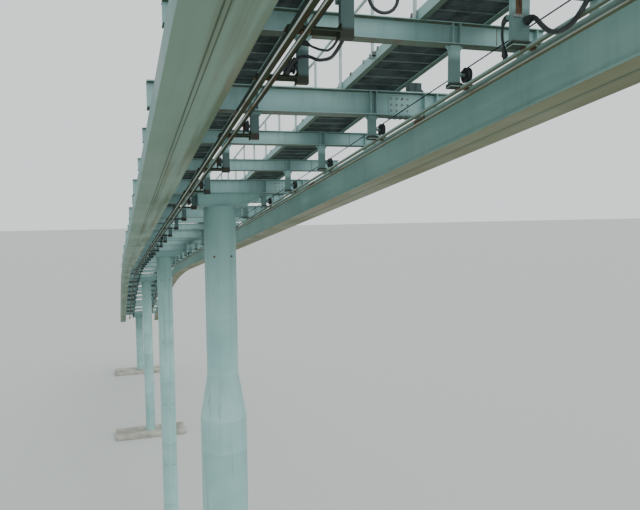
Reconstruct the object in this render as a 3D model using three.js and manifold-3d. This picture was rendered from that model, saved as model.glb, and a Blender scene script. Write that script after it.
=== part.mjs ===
// Elevated twin-girder guideway of a rope-hauled hanging railway, on four single round columns.
// Every size below is the full-size guideway's, in millimetres. The whole is a half-size model.
// X runs downhill along the guideway, Y to its left, Z up. The origin is under column 1.

import * as THREE from 'three';
import { mergeVertices } from 'three/addons/utils/BufferGeometryUtils.js';
import Module from 'manifold-3d';

const wasm = await Module();
wasm.setup();

const modelScale = 0.5;

// Pieces that meet face to face keep this gap.
const seatGap = 0.6;
// Pieces that are welded into one sink into each other by this much.
const weld = 5;

// The line: heights h are counted from the girders' underside, which falls downhill.
const bay = 2500;
const nearEnd = -13250;
const farEnd = 66250;
const undersideAtOrigin = 20306;
const upperGrade = 0.14375;
const crestStart = 28750;
const crestEnd = 51250;
const crestRadius = 125000;

// Girders: hollow boxes in reality, with a wide bottom flange whose lips stick out.
const girderCentre = 2000;
const girderWidth = 490;
const girderHeight = 640;
const flangeWidth = 640;
const flangeThickness = 25;
const expansionGap = 20;

// Cross-beams: H sections that lie across both girders on stools. Their tops are level.
const beamTop = 1050;
const mainBeam = { halfLength: 2270, bottom: 690, width: 200, flange: 16, web: 12 };
const minorBeam = { halfLength: 2230, bottom: 810, width: 150, flange: 10, web: 8 };
const anchorBeam = { halfLength: 2230, bottom: 860, width: 100, flange: 10, web: 8 };
const stool = { inner: 1910, outer: 2090, halfLength: 70 };

// Walkways: channels on the cross-beams, with a grating between them.
const stringer = { width: 900, flange: 80, web: 12, top: 1170 };
const grating = { lift: 12, thickness: 32 };
const handrail = { post: 46, top: 1945, bar: 42, pitch: 1250 };
const freePostFoot = 1090;

// Hanger posts and the arms that carry the rails. The right-hand posts stand on their arms. The
// left-hand ones reach lower, and their arms have an end plate that is bolted to the post.
const post = { width: 125, depth: 65, foot: 300 };
const arm = { end: 1290, halfWidth: 60, bottom: 340, top: 370, inboard: 10 };
const armPlate = { thickness: 12, reach: 40 };
const rails = [
  { name: 'inner', centre: 1117.5, width: 45, bottom: 315 },
  { name: 'outer', centre: 1250, width: 70, bottom: 275 },
];

// Haulage rope and its sheaves, which turn on pins fixed in the posts.
const rope = { height: 570, radius: 9, sides: 8 };
const sheave = { rim: 90, groove: 72, bore: 22, halfWidth: 28, grooveHalf: 8, sides: 12 };
const pin = { radius: 20, overhang: 6, sides: 8 };
const ropeBlock = { length: 140, bottom: 530, top: 610, overhang: 30 };
const anchorFrameX = -4.5 * bay;
const bracket = { reach: 100, inner: 673, outer: 797, bottom: 648, top: 688 };

// Column heads and columns. The columns stand a little to the left of the centre line.
const columnY = 140;
const head = { leftEnd: 715, leftDepth: 315, rightEnd: -910, rightDepth: 140, depth: 370, halfLength: 300 };
const shaftRadius = 406.4;
const wideShaft = { radius: 600, coneBottom: 15150, coneTop: 16300 };
const shaftSides = 28;
const footing = { length: 2500, width: 6000, thickness: 300 };

// One row for each side of the guideway: its sign on Y, and how far from the middle its walkway's
// inner edge, its rope and its posts are.
const sides = [
  {
    name: 'left', sign: 1, walkway: 760, rope: 900, postCentre: 780,
    anchorCentre: 735, anchorWidth: 125, postsOnArms: false,
  },
  {
    name: 'right', sign: -1, walkway: 560, rope: 1200, postCentre: 1035,
    anchorCentre: 1040, anchorWidth: 190, postsOnArms: true,
  },
];

// One row for each span: its two ends, and its first and last cross-beam by bay number. A column
// stands under the last one.
const spans = [
  { number: 1, from: nearEnd, to: 0.5 * bay, firstBeam: -5, lastBeam: 0 },
  { number: 2, from: 0.5 * bay, to: 8.5 * bay, firstBeam: 1, lastBeam: 8 },
  { number: 3, from: 8.5 * bay, to: 17.5 * bay, firstBeam: 9, lastBeam: 17 },
  { number: 4, from: 17.5 * bay, to: farEnd, firstBeam: 18, lastBeam: 26 },
];
const firstBeamX = spans[0].firstBeam * bay;
const lastBeamX = spans[3].lastBeam * bay;

// Bays with a turning sheave on each side.
const sheaveBays = [-4, -3, -2, -1, 0, 4, 8, 12, 17, 21];

// Hoses and cables that hang from the anchor frame. Each route is a list of [x, y, h], and leaves
// its first gland and enters its last one straight. Those with a railSide end on that side's rail
// pair, and the others on the deck frame.
const hoses = [
  {
    name: 'hose_right', radius: 24, steps: 24, railSide: null, route: [
      [-11300, -1092, 575], [-11330, -1092, 575], [-11368, -1091, 572], [-11407, -1089, 560],
      [-11443, -1085, 540], [-11475, -1080, 513], [-11506, -1075, 484], [-11547, -1069, 445],
      [-11592, -1064, 404], [-11640, -1061, 363], [-11695, -1060, 323], [-11755, -1060, 292],
      [-11818, -1060, 273], [-11880, -1060, 266], [-11940, -1060, 267], [-11998, -1060, 278],
      [-12050, -1060, 299], [-12098, -1060, 328], [-12142, -1060, 361], [-12185, -1060, 396],
      [-12229, -1060, 430], [-12277, -1060, 459], [-12328, -1060, 480], [-12380, -1060, 493],
      [-12418, -1060, 498], [-12450, -1060, 500],
    ],
  },
  {
    name: 'cable_right', radius: 14, steps: 12, railSide: 'right', route: [
      [-11172, -960, 640], [-11140, -960, 640], [-11110, -962, 628], [-11080, -968, 600],
      [-11052, -981, 558], [-11026, -1000, 515], [-11000, -1025, 478], [-10972, -1055, 446],
      [-10940, -1084, 414], [-10908, -1109, 384],
    ],
  },
  {
    name: 'hose_left_high', radius: 13, steps: 24, railSide: null, route: [
      [-11184, 752, 634], [-11184, 752, 600], [-11182, 750, 560], [-11160, 750, 510],
      [-11130, 748, 472], [-11050, 736, 401], [-10950, 730, 388], [-10850, 725, 386],
      [-10700, 724, 405], [-10600, 725, 440], [-10500, 727, 482], [-10400, 728, 525],
      [-10300, 732, 575], [-10230, 736, 609], [-10170, 747, 646], [-10115, 763, 681],
      [-10068, 779, 711],
    ],
  },
  {
    name: 'hose_left_low', radius: 18, steps: 26, railSide: 'left', route: [
      [-11184, 700, 634], [-11184, 700, 590], [-11184, 700, 540], [-11180, 701, 480],
      [-11165, 703, 425], [-11130, 706, 380], [-11050, 713, 344], [-10950, 725, 308],
      [-10820, 728, 300], [-10700, 725, 324], [-10600, 733, 350], [-10500, 745, 381],
      [-10405, 747, 418], [-10325, 752, 458], [-10262, 766, 492], [-10215, 788, 515],
      [-10182, 816, 526], [-10160, 848, 525], [-10146, 878, 513], [-10134, 906, 494],
      [-10120, 931, 470], [-10103, 953, 443], [-10083, 968, 416], [-10062, 978, 392],
    ],
  },
  {
    name: 'hose_middle', radius: 16, steps: 20, railSide: null, route: [
      [-11250, 520, 855], [-11250, 520, 815], [-11250, 520, 775], [-11250, 520, 735],
      [-11250, 520, 696], [-11250, 517, 667], [-11250, 508, 639], [-11250, 493, 614],
      [-11250, 474, 592], [-11250, 450, 575], [-11250, 423, 563], [-11250, 395, 557],
      [-11250, 365, 557], [-11250, 337, 563], [-11250, 310, 575], [-11250, 286, 592],
      [-11250, 267, 614], [-11250, 252, 639], [-11250, 243, 667], [-11250, 240, 696],
      [-11250, 240, 735], [-11250, 240, 775], [-11250, 240, 815], [-11250, 240, 855],
    ],
  },
];
const glandLength = 60;
const glandMargin = 10;
const glandSides = 10;
const hoseSides = 8;

const paint = (color) => new THREE.MeshStandardMaterial({ color, roughness: 0.55, metalness: 0.0 });
const steel = (color) => new THREE.MeshStandardMaterial({ color, roughness: 0.7, metalness: 0.4 });
const materials = {
  girder: paint(0x9fb0ab),
  column: paint(0xa9bfbf),
  deck: paint(0x8fa3a1),
  grating: steel(0x4d5a58),
  handrail: paint(0xa5b3b0),
  concrete: new THREE.MeshStandardMaterial({ color: 0xb4b1a8, roughness: 0.9, metalness: 0.0 }),
  rail: steel(0x6f5b47),
  rope: steel(0x3f4345),
  sheave: steel(0x4a4f50),
  hose: new THREE.MeshStandardMaterial({ color: 0x1c2224, roughness: 0.6, metalness: 0.0 }),
};

const guideway = new THREE.Group();
guideway.name = 'guideway';
guideway.scale.setScalar(modelScale);

const axisX = new THREE.Vector3(1, 0, 0);
const axisY = new THREE.Vector3(0, 1, 0);
const axisZ = new THREE.Vector3(0, 0, 1);

// Height of the girders' underside. Over the crest the true arc is taken at mid-bay points only,
// and the line is straight between them.
function arcHeight(x) {
  const into = Math.max(0, Math.min(x, crestEnd) - crestStart);
  const past = Math.max(0, x - crestEnd);
  const drop = (into * into) / (2 * crestRadius) + (past * (crestEnd - crestStart)) / crestRadius;
  return undersideAtOrigin - upperGrade * x - drop;
}

function lineHeight(x) {
  if (x <= crestStart || x >= crestEnd) return arcHeight(x);
  const before = crestStart + Math.floor((x - crestStart) / bay) * bay;
  const share = (x - before) / bay;
  return arcHeight(before) * (1 - share) + arcHeight(before + bay) * share;
}

function gradeAt(x) {
  return (lineHeight(x - 1) - lineHeight(x + 1)) / 2;
}

// Lifts a shape that was drawn on a level line onto the real one.
function follow(geometry) {
  const position = geometry.attributes.position;
  for (let i = 0; i < position.count; i++) {
    position.setZ(i, position.getZ(i) + lineHeight(position.getX(i)));
  }
  return geometry;
}

function shapeOf(outline) {
  return new THREE.Shape(outline.map(([a, b]) => new THREE.Vector2(a, b)));
}

// A section drawn in [y, h], swept along the line, with a bend at each mid-bay point of the crest.
function along(outline, from, to) {
  const knots = [from];
  for (let x = crestStart; x <= crestEnd; x += bay) {
    if (x > from && x < to) knots.push(x);
  }
  knots.push(to);
  const steps = knots.length - 1;
  const geometry = new THREE.ExtrudeGeometry(shapeOf(outline), {
    depth: steps, steps, bevelEnabled: false });
  geometry.applyMatrix4(new THREE.Matrix4().makeBasis(axisY, axisZ, axisX));
  const position = geometry.attributes.position;
  for (let i = 0; i < position.count; i++) {
    position.setX(i, knots[Math.round(position.getX(i))]);
  }
  return follow(geometry);
}

// A section drawn in [x, h], carried across the line from one y to another.
function across(outline, fromY, toY) {
  const low = Math.min(fromY, toY);
  const high = Math.max(fromY, toY);
  const geometry = new THREE.ExtrudeGeometry(shapeOf(outline), {
    depth: high - low, bevelEnabled: false });
  geometry.applyMatrix4(new THREE.Matrix4().makeBasis(axisX, axisZ, axisY.clone().negate()));
  geometry.translate(0, high, 0);
  return follow(geometry);
}

function rectangle(a0, b0, a1, b1) {
  return [[a0, b0], [a1, b0], [a1, b1], [a0, b1]];
}

// A block between two corners of the level line.
function block(x0, x1, y0, y1, h0, h1) {
  return across(rectangle(x0, h0, x1, h1), y0, y1);
}

function solidOf(geometry) {
  const bare = geometry.clone();
  bare.deleteAttribute('normal');
  bare.deleteAttribute('uv');
  const merged = mergeVertices(bare, 1e-3);
  return new wasm.Manifold(new wasm.Mesh({
    numProp: 3,
    vertProperties: new Float32Array(merged.attributes.position.array),
    triVerts: new Uint32Array(merged.index.array),
  }));
}

function welded(pieces) {
  let solid = solidOf(pieces[0]);
  for (const piece of pieces.slice(1)) solid = solid.add(solidOf(piece));
  const mesh = solid.getMesh();
  const geometry = new THREE.BufferGeometry();
  geometry.setAttribute('position', new THREE.BufferAttribute(new Float32Array(mesh.vertProperties), 3));
  geometry.setIndex(new THREE.BufferAttribute(new Uint32Array(mesh.triVerts), 1));
  geometry.computeVertexNormals();
  return geometry;
}

function add(name, geometry, material) {
  const mesh = new THREE.Mesh(geometry, material);
  mesh.name = name;
  guideway.add(mesh);
  return mesh;
}

// Girders: one length for each span and side, with an expansion gap between lengths.
function girderOutline(centre) {
  const lip = flangeWidth / 2;
  const web = girderWidth / 2;
  return [
    [-lip, 0], [lip, 0], [lip, flangeThickness], [web, flangeThickness], [web, girderHeight],
    [-web, girderHeight], [-web, flangeThickness], [-lip, flangeThickness],
  ].map(([y, h]) => [centre + y, h]);
}

function trimmedEnds(span) {
  const from = span.from === nearEnd ? nearEnd : span.from + expansionGap / 2;
  const to = span.to === farEnd ? farEnd : span.to - expansionGap / 2;
  return { from, to };
}

for (const side of sides) {
  for (const span of spans) {
    const { from, to } = trimmedEnds(span);
    const outline = girderOutline(side.sign * girderCentre);
    add(`girder_${side.name}_${span.number}`, along(outline, from, to), materials.girder);
  }
}

// Deck frames: the cross-beams of a span, joined by the walkway channels that lie on them,
// with the hanger posts, rail arms, sheave pins and hose glands that they carry.
function beamOutline(x, beam) {
  const half = beam.width / 2;
  const web = beam.web / 2;
  const low = beam.bottom + beam.flange;
  const high = beamTop - beam.flange;
  return [
    [-half, beam.bottom], [half, beam.bottom], [half, low], [web, low], [web, high], [half, high],
    [half, beamTop], [-half, beamTop], [-half, high], [-web, high], [-web, low], [-half, low],
  ].map(([dx, h]) => [x + dx, h]);
}

// Counting uphill from each column, every third cross-beam is a main one.
function isMainBeam(index, span) {
  return (span.lastBeam - index) % 3 === 0;
}

function innerChannel(side) {
  const web = side.walkway;
  const lip = web + stringer.flange;
  const inside = web + stringer.web;
  const shelf = beamTop + grating.lift;
  const roof = stringer.top - stringer.web;
  return [
    [web, beamTop - weld], [lip, beamTop - weld], [lip, shelf], [inside, shelf],
    [inside, roof], [lip, roof], [lip, stringer.top], [web, stringer.top],
  ].map(([y, h]) => [side.sign * y, h]);
}

function hangerPost(x, side, centre, width, beam) {
  const inner = side.sign * (centre - width / 2);
  const outer = side.sign * (centre + width / 2);
  const foot = side.postsOnArms ? arm.top + seatGap : post.foot;
  return block(x - post.depth / 2, x + post.depth / 2, inner, outer, foot, beam.bottom + weld);
}

// Two hoses leave the left-hand anchor post through a bracket on its downhill face.
function hoseBracket() {
  const face = anchorFrameX + post.depth / 2 - weld;
  return block(face, face + bracket.reach, bracket.inner, bracket.outer, bracket.bottom, bracket.top);
}

function stools(x, beam) {
  return sides.map((side) => block(x - stool.halfLength, x + stool.halfLength,
    side.sign * stool.inner, side.sign * stool.outer, girderHeight + seatGap, beam.bottom + weld));
}

// Holds an end of a rope beside a post.
function ropeEnd(x, side) {
  return block(x - ropeBlock.length / 2, x + ropeBlock.length / 2,
    side.sign * (side.postCentre + post.width / 2 - weld), side.sign * (side.rope + ropeBlock.overhang),
    ropeBlock.bottom, ropeBlock.top);
}

// The sheave's centre hangs under the rope by the groove's radius, measured square to the grade.
function sheaveHeight(x) {
  const square = Math.cos(Math.atan(gradeAt(x)));
  return rope.height - rope.radius - (sheave.groove + seatGap) / square;
}

function sheavePin(x, side) {
  const from = side.postCentre + post.width / 2 - 2 * weld;
  const to = side.rope + sheave.halfWidth + pin.overhang;
  const geometry = new THREE.CylinderGeometry(pin.radius, pin.radius, to - from, pin.sides);
  geometry.translate(x, (side.sign * (from + to)) / 2, lineHeight(x) + sheaveHeight(x));
  return geometry;
}

function routePoints(hose) {
  return hose.route.map(([x, y, h]) => new THREE.Vector3(x, y, h + lineHeight(x)));
}

// A gland continues its hose past the end, into the piece that holds it.
function gland(hose, atStart) {
  const points = routePoints(hose);
  const end = atStart ? points[0] : points[points.length - 1];
  const next = atStart ? points[1] : points[points.length - 2];
  const out = end.clone().sub(next);
  out.normalize();
  const geometry = new THREE.CylinderGeometry(
    hose.radius + glandMargin, hose.radius + glandMargin, glandLength, glandSides);
  geometry.applyQuaternion(new THREE.Quaternion().setFromUnitVectors(axisY, out));
  const centre = end.clone().addScaledVector(out, glandLength / 2 + seatGap);
  return geometry.translate(centre.x, centre.y, centre.z);
}

for (const span of spans) {
  const { from, to } = trimmedEnds(span);
  const pieces = [];
  for (const side of sides) {
    pieces.push(along(innerChannel(side), from, to));
  }
  for (let index = span.firstBeam; index <= span.lastBeam; index++) {
    const x = index * bay;
    const beam = isMainBeam(index, span) ? mainBeam : minorBeam;
    pieces.push(across(beamOutline(x, beam), -beam.halfLength, beam.halfLength), ...stools(x, beam));
    for (const side of sides) {
      pieces.push(hangerPost(x, side, side.postCentre, post.width, beam));
      if (sheaveBays.includes(index)) pieces.push(sheavePin(x, side));
    }
  }
  if (span.number === 1) {
    const x = anchorFrameX;
    pieces.push(across(beamOutline(x, anchorBeam), -anchorBeam.halfLength, anchorBeam.halfLength));
    pieces.push(...stools(x, anchorBeam), hoseBracket());
    for (const side of sides) {
      pieces.push(hangerPost(x, side, side.anchorCentre, side.anchorWidth, anchorBeam));
      pieces.push(ropeEnd(firstBeamX, side));
    }
    for (const hose of hoses) {
      pieces.push(gland(hose, true));
      if (hose.railSide === null) pieces.push(gland(hose, false));
    }
  }
  if (span.to === farEnd) {
    for (const side of sides) pieces.push(ropeEnd(lastBeamX, side));
  }
  add(`deck_frame_${span.number}`, welded(pieces), materials.deck);
}

// Walkways: a grating that lies in the inner channel and is edged by the outer one.
function walkwayOutline(side) {
  const start = side.walkway + stringer.web + seatGap;
  const outer = side.walkway + stringer.width;
  const web = outer - stringer.web;
  const lip = outer - stringer.flange;
  const low = beamTop + grating.lift + seatGap;
  const high = low + grating.thickness;
  const foot = beamTop + seatGap;
  const roof = stringer.top - stringer.web;
  return [
    [start, low], [lip, low], [lip, foot], [outer, foot], [outer, stringer.top],
    [lip, stringer.top], [lip, roof], [web, roof], [web, high], [start, high],
  ].map(([y, h]) => [side.sign * y, h]);
}

for (const side of sides) {
  for (const half of [0, 1]) {
    const from = trimmedEnds(spans[2 * half]).from;
    const to = trimmedEnds(spans[2 * half + 1]).to;
    const geometry = along(walkwayOutline(side), from, to);
    add(`walkway_${side.name}_${half + 1}`, geometry, materials.grating);
  }
}

// Handrails: a bar on posts against the inner channel of each walkway. A post at a cross-beam
// stands on it, and the others are clamped to the channel.
function handrailPanel(from, to, side) {
  const barHalf = handrail.bar / 2;
  const postHalf = handrail.post / 2;
  const middle = side.sign * (side.walkway - seatGap - postHalf);
  const bar = rectangle(middle - barHalf, handrail.top - handrail.bar, middle + barHalf, handrail.top);
  const pieces = [along(bar, from, to)];
  const first = Math.ceil(from / handrail.pitch) * handrail.pitch;
  for (let x = first; x <= to - postHalf; x += handrail.pitch) {
    const foot = x % bay === 0 ? beamTop + seatGap : freePostFoot;
    pieces.push(block(x - postHalf, x + postHalf, middle - postHalf, middle + postHalf,
      foot, handrail.top - weld));
  }
  return welded(pieces);
}

for (const side of sides) {
  for (const half of [0, 1]) {
    const from = trimmedEnds(spans[2 * half]).from;
    const to = trimmedEnds(spans[2 * half + 1]).to;
    add(`handrail_${side.name}_${half + 1}`, handrailPanel(from, to, side), materials.handrail);
  }
}

// Rail pairs, hung under arms that reach outwards from the posts.
function railArm(x, side, centre, width) {
  const from = x - arm.halfWidth;
  const to = x + arm.halfWidth;
  const end = side.sign * arm.end;
  if (side.postsOnArms) {
    const inner = side.sign * (centre - width / 2 - arm.inboard);
    return [block(from, to, inner, end, arm.bottom, arm.top)];
  }
  const face = side.sign * (centre + width / 2 + seatGap);
  return [
    block(from, to, face, end, arm.bottom, arm.top),
    block(from, to, face, face + side.sign * armPlate.thickness,
      arm.bottom - armPlate.reach, arm.top + armPlate.reach),
  ];
}

for (const side of sides) {
  for (const half of [0, 1]) {
    const first = spans[2 * half];
    const second = spans[2 * half + 1];
    const from = trimmedEnds(first).from;
    const to = trimmedEnds(second).to;
    const pieces = [];
    for (const rail of rails) {
      const low = side.sign * rail.centre - rail.width / 2;
      pieces.push(along(rectangle(low, rail.bottom, low + rail.width, arm.bottom + weld), from, to));
    }
    for (let index = first.firstBeam; index <= second.lastBeam; index++) {
      pieces.push(...railArm(index * bay, side, side.postCentre, post.width));
    }
    if (half === 0) {
      pieces.push(...railArm(anchorFrameX, side, side.anchorCentre, side.anchorWidth));
      for (const hose of hoses) {
        if (hose.railSide === side.name) pieces.push(gland(hose, false));
      }
    }
    add(`rail_pair_${side.name}_${half + 1}`, welded(pieces), materials.rail);
  }
}

// Haulage ropes, from the first cross-beam to the last one.
for (const side of sides) {
  const outline = [];
  for (let i = 0; i < rope.sides; i++) {
    const turn = (2 * Math.PI * (i + 0.5)) / rope.sides;
    outline.push([
      side.sign * side.rope + rope.radius * Math.cos(turn), rope.height + rope.radius * Math.sin(turn)]);
  }
  const from = firstBeamX + ropeBlock.length / 2 + seatGap;
  const to = lastBeamX - ropeBlock.length / 2 - seatGap;
  add(`rope_${side.name}`, along(outline, from, to), materials.rope);
}

// Sheaves: grooved wheels that turn on their pins.
function sheaveGeometry() {
  const profile = [
    [sheave.bore, -sheave.halfWidth], [sheave.rim, -sheave.halfWidth],
    [sheave.groove, -sheave.grooveHalf], [sheave.groove, sheave.grooveHalf],
    [sheave.rim, sheave.halfWidth], [sheave.bore, sheave.halfWidth],
    [sheave.bore, -sheave.halfWidth],
  ];
  return new THREE.LatheGeometry(profile.map(([r, y]) => new THREE.Vector2(r, y)), sheave.sides);
}

for (const side of sides) {
  sheaveBays.forEach((index, i) => {
    const x = index * bay;
    const mesh = add(`sheave_${side.name}_${i + 1}`, sheaveGeometry(), materials.sheave);
    mesh.position.set(x, side.sign * side.rope, lineHeight(x) + sheaveHeight(x));
  });
}

// Columns: round tubes with a haunched box head welded on, longer on the right. Column 1 is wider
// below a cone. Each stands on a footing that is wide across the line, and is buried in reality.
const underBeam = mainBeam.bottom - seatGap;
const headBottom = underBeam - head.depth;

function columnHead(x) {
  const outline = [
    [head.rightEnd, underBeam], [head.rightEnd, underBeam - head.rightDepth],
    [columnY - shaftRadius, headBottom], [columnY + shaftRadius, headBottom],
    [head.leftEnd, underBeam - head.leftDepth], [head.leftEnd, underBeam],
  ];
  return along(outline, x - head.halfLength, x + head.halfLength);
}

// The shaft is turned about its axis with a level top, which is then cut to the head's slope.
function shaft(x, lowerProfile) {
  const levelTop = undersideAtOrigin * 2;
  const foot = footing.thickness + seatGap;
  const profile = [[0, foot], ...lowerProfile, [shaftRadius, levelTop], [0, levelTop]];
  const geometry = new THREE.LatheGeometry(profile.map(([r, z]) => new THREE.Vector2(r, z)), shaftSides);
  geometry.rotateX(Math.PI / 2);
  geometry.translate(x, columnY, 0);
  const position = geometry.attributes.position;
  for (let i = 0; i < position.count; i++) {
    if (position.getZ(i) < levelTop - weld) continue;
    position.setZ(i, lineHeight(position.getX(i)) + headBottom + weld);
  }
  return geometry;
}

spans.forEach((span, i) => {
  const x = span.lastBeam * bay;
  const foot = footing.thickness + seatGap;
  const lowerProfile = i === 0
    ? [[wideShaft.radius, foot], [wideShaft.radius, wideShaft.coneBottom], [shaftRadius, wideShaft.coneTop]]
    : [[shaftRadius, foot]];
  add(`column_${span.number}`, welded([columnHead(x), shaft(x, lowerProfile)]), materials.column);

  const slab = new THREE.BoxGeometry(footing.length, footing.width, footing.thickness);
  slab.translate(x, columnY, footing.thickness / 2);
  add(`footing_${span.number}`, slab, materials.concrete);
});

// Hoses and the cable, each on one smooth curve.
for (const hose of hoses) {
  const curve = new THREE.CatmullRomCurve3(routePoints(hose));
  const section = [];
  for (let i = 0; i < hoseSides; i++) {
    const turn = (2 * Math.PI * i) / hoseSides;
    section.push([hose.radius * Math.cos(turn), hose.radius * Math.sin(turn)]);
  }
  const geometry = new THREE.ExtrudeGeometry(shapeOf(section), {
    steps: hose.steps, extrudePath: curve, bevelEnabled: false });
  add(hose.name, geometry, materials.hose);
}

export default guideway;
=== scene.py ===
import math

import bmesh
import bpy
from mathutils import Matrix, Vector


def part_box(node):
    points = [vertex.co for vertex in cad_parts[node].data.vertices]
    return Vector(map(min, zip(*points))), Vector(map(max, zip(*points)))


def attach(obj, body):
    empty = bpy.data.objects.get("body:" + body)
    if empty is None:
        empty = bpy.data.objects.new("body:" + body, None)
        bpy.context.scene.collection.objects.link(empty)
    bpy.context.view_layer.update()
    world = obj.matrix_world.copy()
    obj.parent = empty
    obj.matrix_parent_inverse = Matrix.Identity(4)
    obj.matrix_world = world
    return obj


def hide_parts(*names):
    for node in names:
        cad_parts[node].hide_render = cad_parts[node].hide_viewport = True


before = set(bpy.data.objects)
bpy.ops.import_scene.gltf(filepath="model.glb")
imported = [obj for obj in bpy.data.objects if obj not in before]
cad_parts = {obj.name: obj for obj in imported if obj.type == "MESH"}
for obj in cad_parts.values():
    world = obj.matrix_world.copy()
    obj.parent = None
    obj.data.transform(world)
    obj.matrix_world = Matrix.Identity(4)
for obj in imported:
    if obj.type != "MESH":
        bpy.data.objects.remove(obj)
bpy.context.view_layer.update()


# The line that the guideway follows. It falls downhill at an even grade, bends over a crest and
# ends steeper. Sizes are the full-size guideway's in millimetres, and the model is half of that.
# Heights h are counted from the girders' underside, and y from the middle, to the left.
MODEL_METRES = 0.5 / 1000
BAY = 2500
NEAR_END = -13250
FAR_END = 66250
UNDERSIDE_AT_ORIGIN = 20306
UPPER_GRADE = 0.14375
CREST_START = 28750
CREST_END = 51250
CREST_RADIUS = 125000
SIDES = {
    "left": {"sign": 1, "walkway": 760, "rope": 900, "post": 780, "anchor_post": 735, "anchor_width": 125},
    "right": {"sign": -1, "walkway": 560, "rope": 1200, "post": 1035, "anchor_post": 1040,
              "anchor_width": 190},
}
SPANS = [
    {"number": 1, "start": NEAR_END, "end": 0.5 * BAY, "first": -5, "last": 0},
    {"number": 2, "start": 0.5 * BAY, "end": 8.5 * BAY, "first": 1, "last": 8},
    {"number": 3, "start": 8.5 * BAY, "end": 17.5 * BAY, "first": 9, "last": 17},
    {"number": 4, "start": 17.5 * BAY, "end": FAR_END, "first": 18, "last": 26},
]
HALVES = [{"number": 1, "spans": SPANS[:2]}, {"number": 2, "spans": SPANS[2:]}]
EXPANSION_GAP = 20
ANCHOR_X = -4.5 * BAY
SEAT_GAP = 0.6
POST_WIDTH = 125


def arc_height(x):
    into = max(0, min(x, CREST_END) - CREST_START)
    past = max(0, x - CREST_END)
    drop = into * into / (2 * CREST_RADIUS) + past * (CREST_END - CREST_START) / CREST_RADIUS
    return UNDERSIDE_AT_ORIGIN - UPPER_GRADE * x - drop


def underside(x):
    if x <= CREST_START or x >= CREST_END:
        return arc_height(x)
    before = CREST_START + math.floor((x - CREST_START) / BAY) * BAY
    share = (x - before) / BAY
    return arc_height(before) * (1 - share) + arc_height(before + BAY) * share


def on_line(x, y, h):
    return Vector((x, y, underside(x) + h)) * MODEL_METRES


def on_ground(x, y, z):
    return Vector((x, y, z)) * MODEL_METRES


def ends_of(spans):
    start, end = spans[0]["start"], spans[-1]["end"]
    trimmed_start = start if start == NEAR_END else start + EXPANSION_GAP / 2
    trimmed_end = end if end == FAR_END else end - EXPANSION_GAP / 2
    return trimmed_start, trimmed_end


def beams_of(spans):
    """The place and kind of each cross-beam of some spans."""
    found = []
    for span in spans:
        for bay in range(span["first"], span["last"] + 1):
            kind = "main" if (span["last"] - bay) % 3 == 0 else "minor"
            found.append({"x": bay * BAY, "kind": kind})
        if span["number"] == 1:
            found.append({"x": ANCHOR_X, "kind": "anchor"})
    return found


def post_edges(beam, side):
    """How far from the middle the inner and outer faces of a beam's hanger post are."""
    anchored = beam["kind"] == "anchor"
    centre = side["anchor_post"] if anchored else side["post"]
    width = side["anchor_width"] if anchored else POST_WIDTH
    return centre - width / 2, centre + width / 2


# The eye stands uphill, a little left of the middle and close under the girders, and looks
# downhill to the right. Its turn, dip and lean were worked out from the photo's vanishing points.
EYE = Vector((-8.4, 1.38, 10.4))
EYE_TURN = math.radians(17.61)
EYE_DIP = math.radians(4.773)
EYE_LEAN = math.radians(0.491)
FRAME_WIDTH = 640
FOCAL_PIXELS = 650

forward = Vector((
    math.cos(EYE_TURN) * math.cos(EYE_DIP), -math.sin(EYE_TURN) * math.cos(EYE_DIP), -math.sin(EYE_DIP)))
level_right = Vector((-math.sin(EYE_TURN), -math.cos(EYE_TURN), 0))
level_down = forward.cross(level_right)
right = math.cos(EYE_LEAN) * level_right + math.sin(EYE_LEAN) * level_down
down = math.cos(EYE_LEAN) * level_down - math.sin(EYE_LEAN) * level_right
camera_data = bpy.data.cameras.new("eye")
camera_data.sensor_width = 36
camera_data.lens = camera_data.sensor_width * FOCAL_PIXELS / FRAME_WIDTH
camera_data.clip_start = 0.05
camera_data.clip_end = 600
camera = bpy.data.objects.new("eye", camera_data)
camera.matrix_world = Matrix.Translation(EYE) @ Matrix((right, -down, -forward)).transposed().to_4x4()
bpy.context.scene.collection.objects.link(camera)
bpy.context.scene.camera = camera


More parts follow.
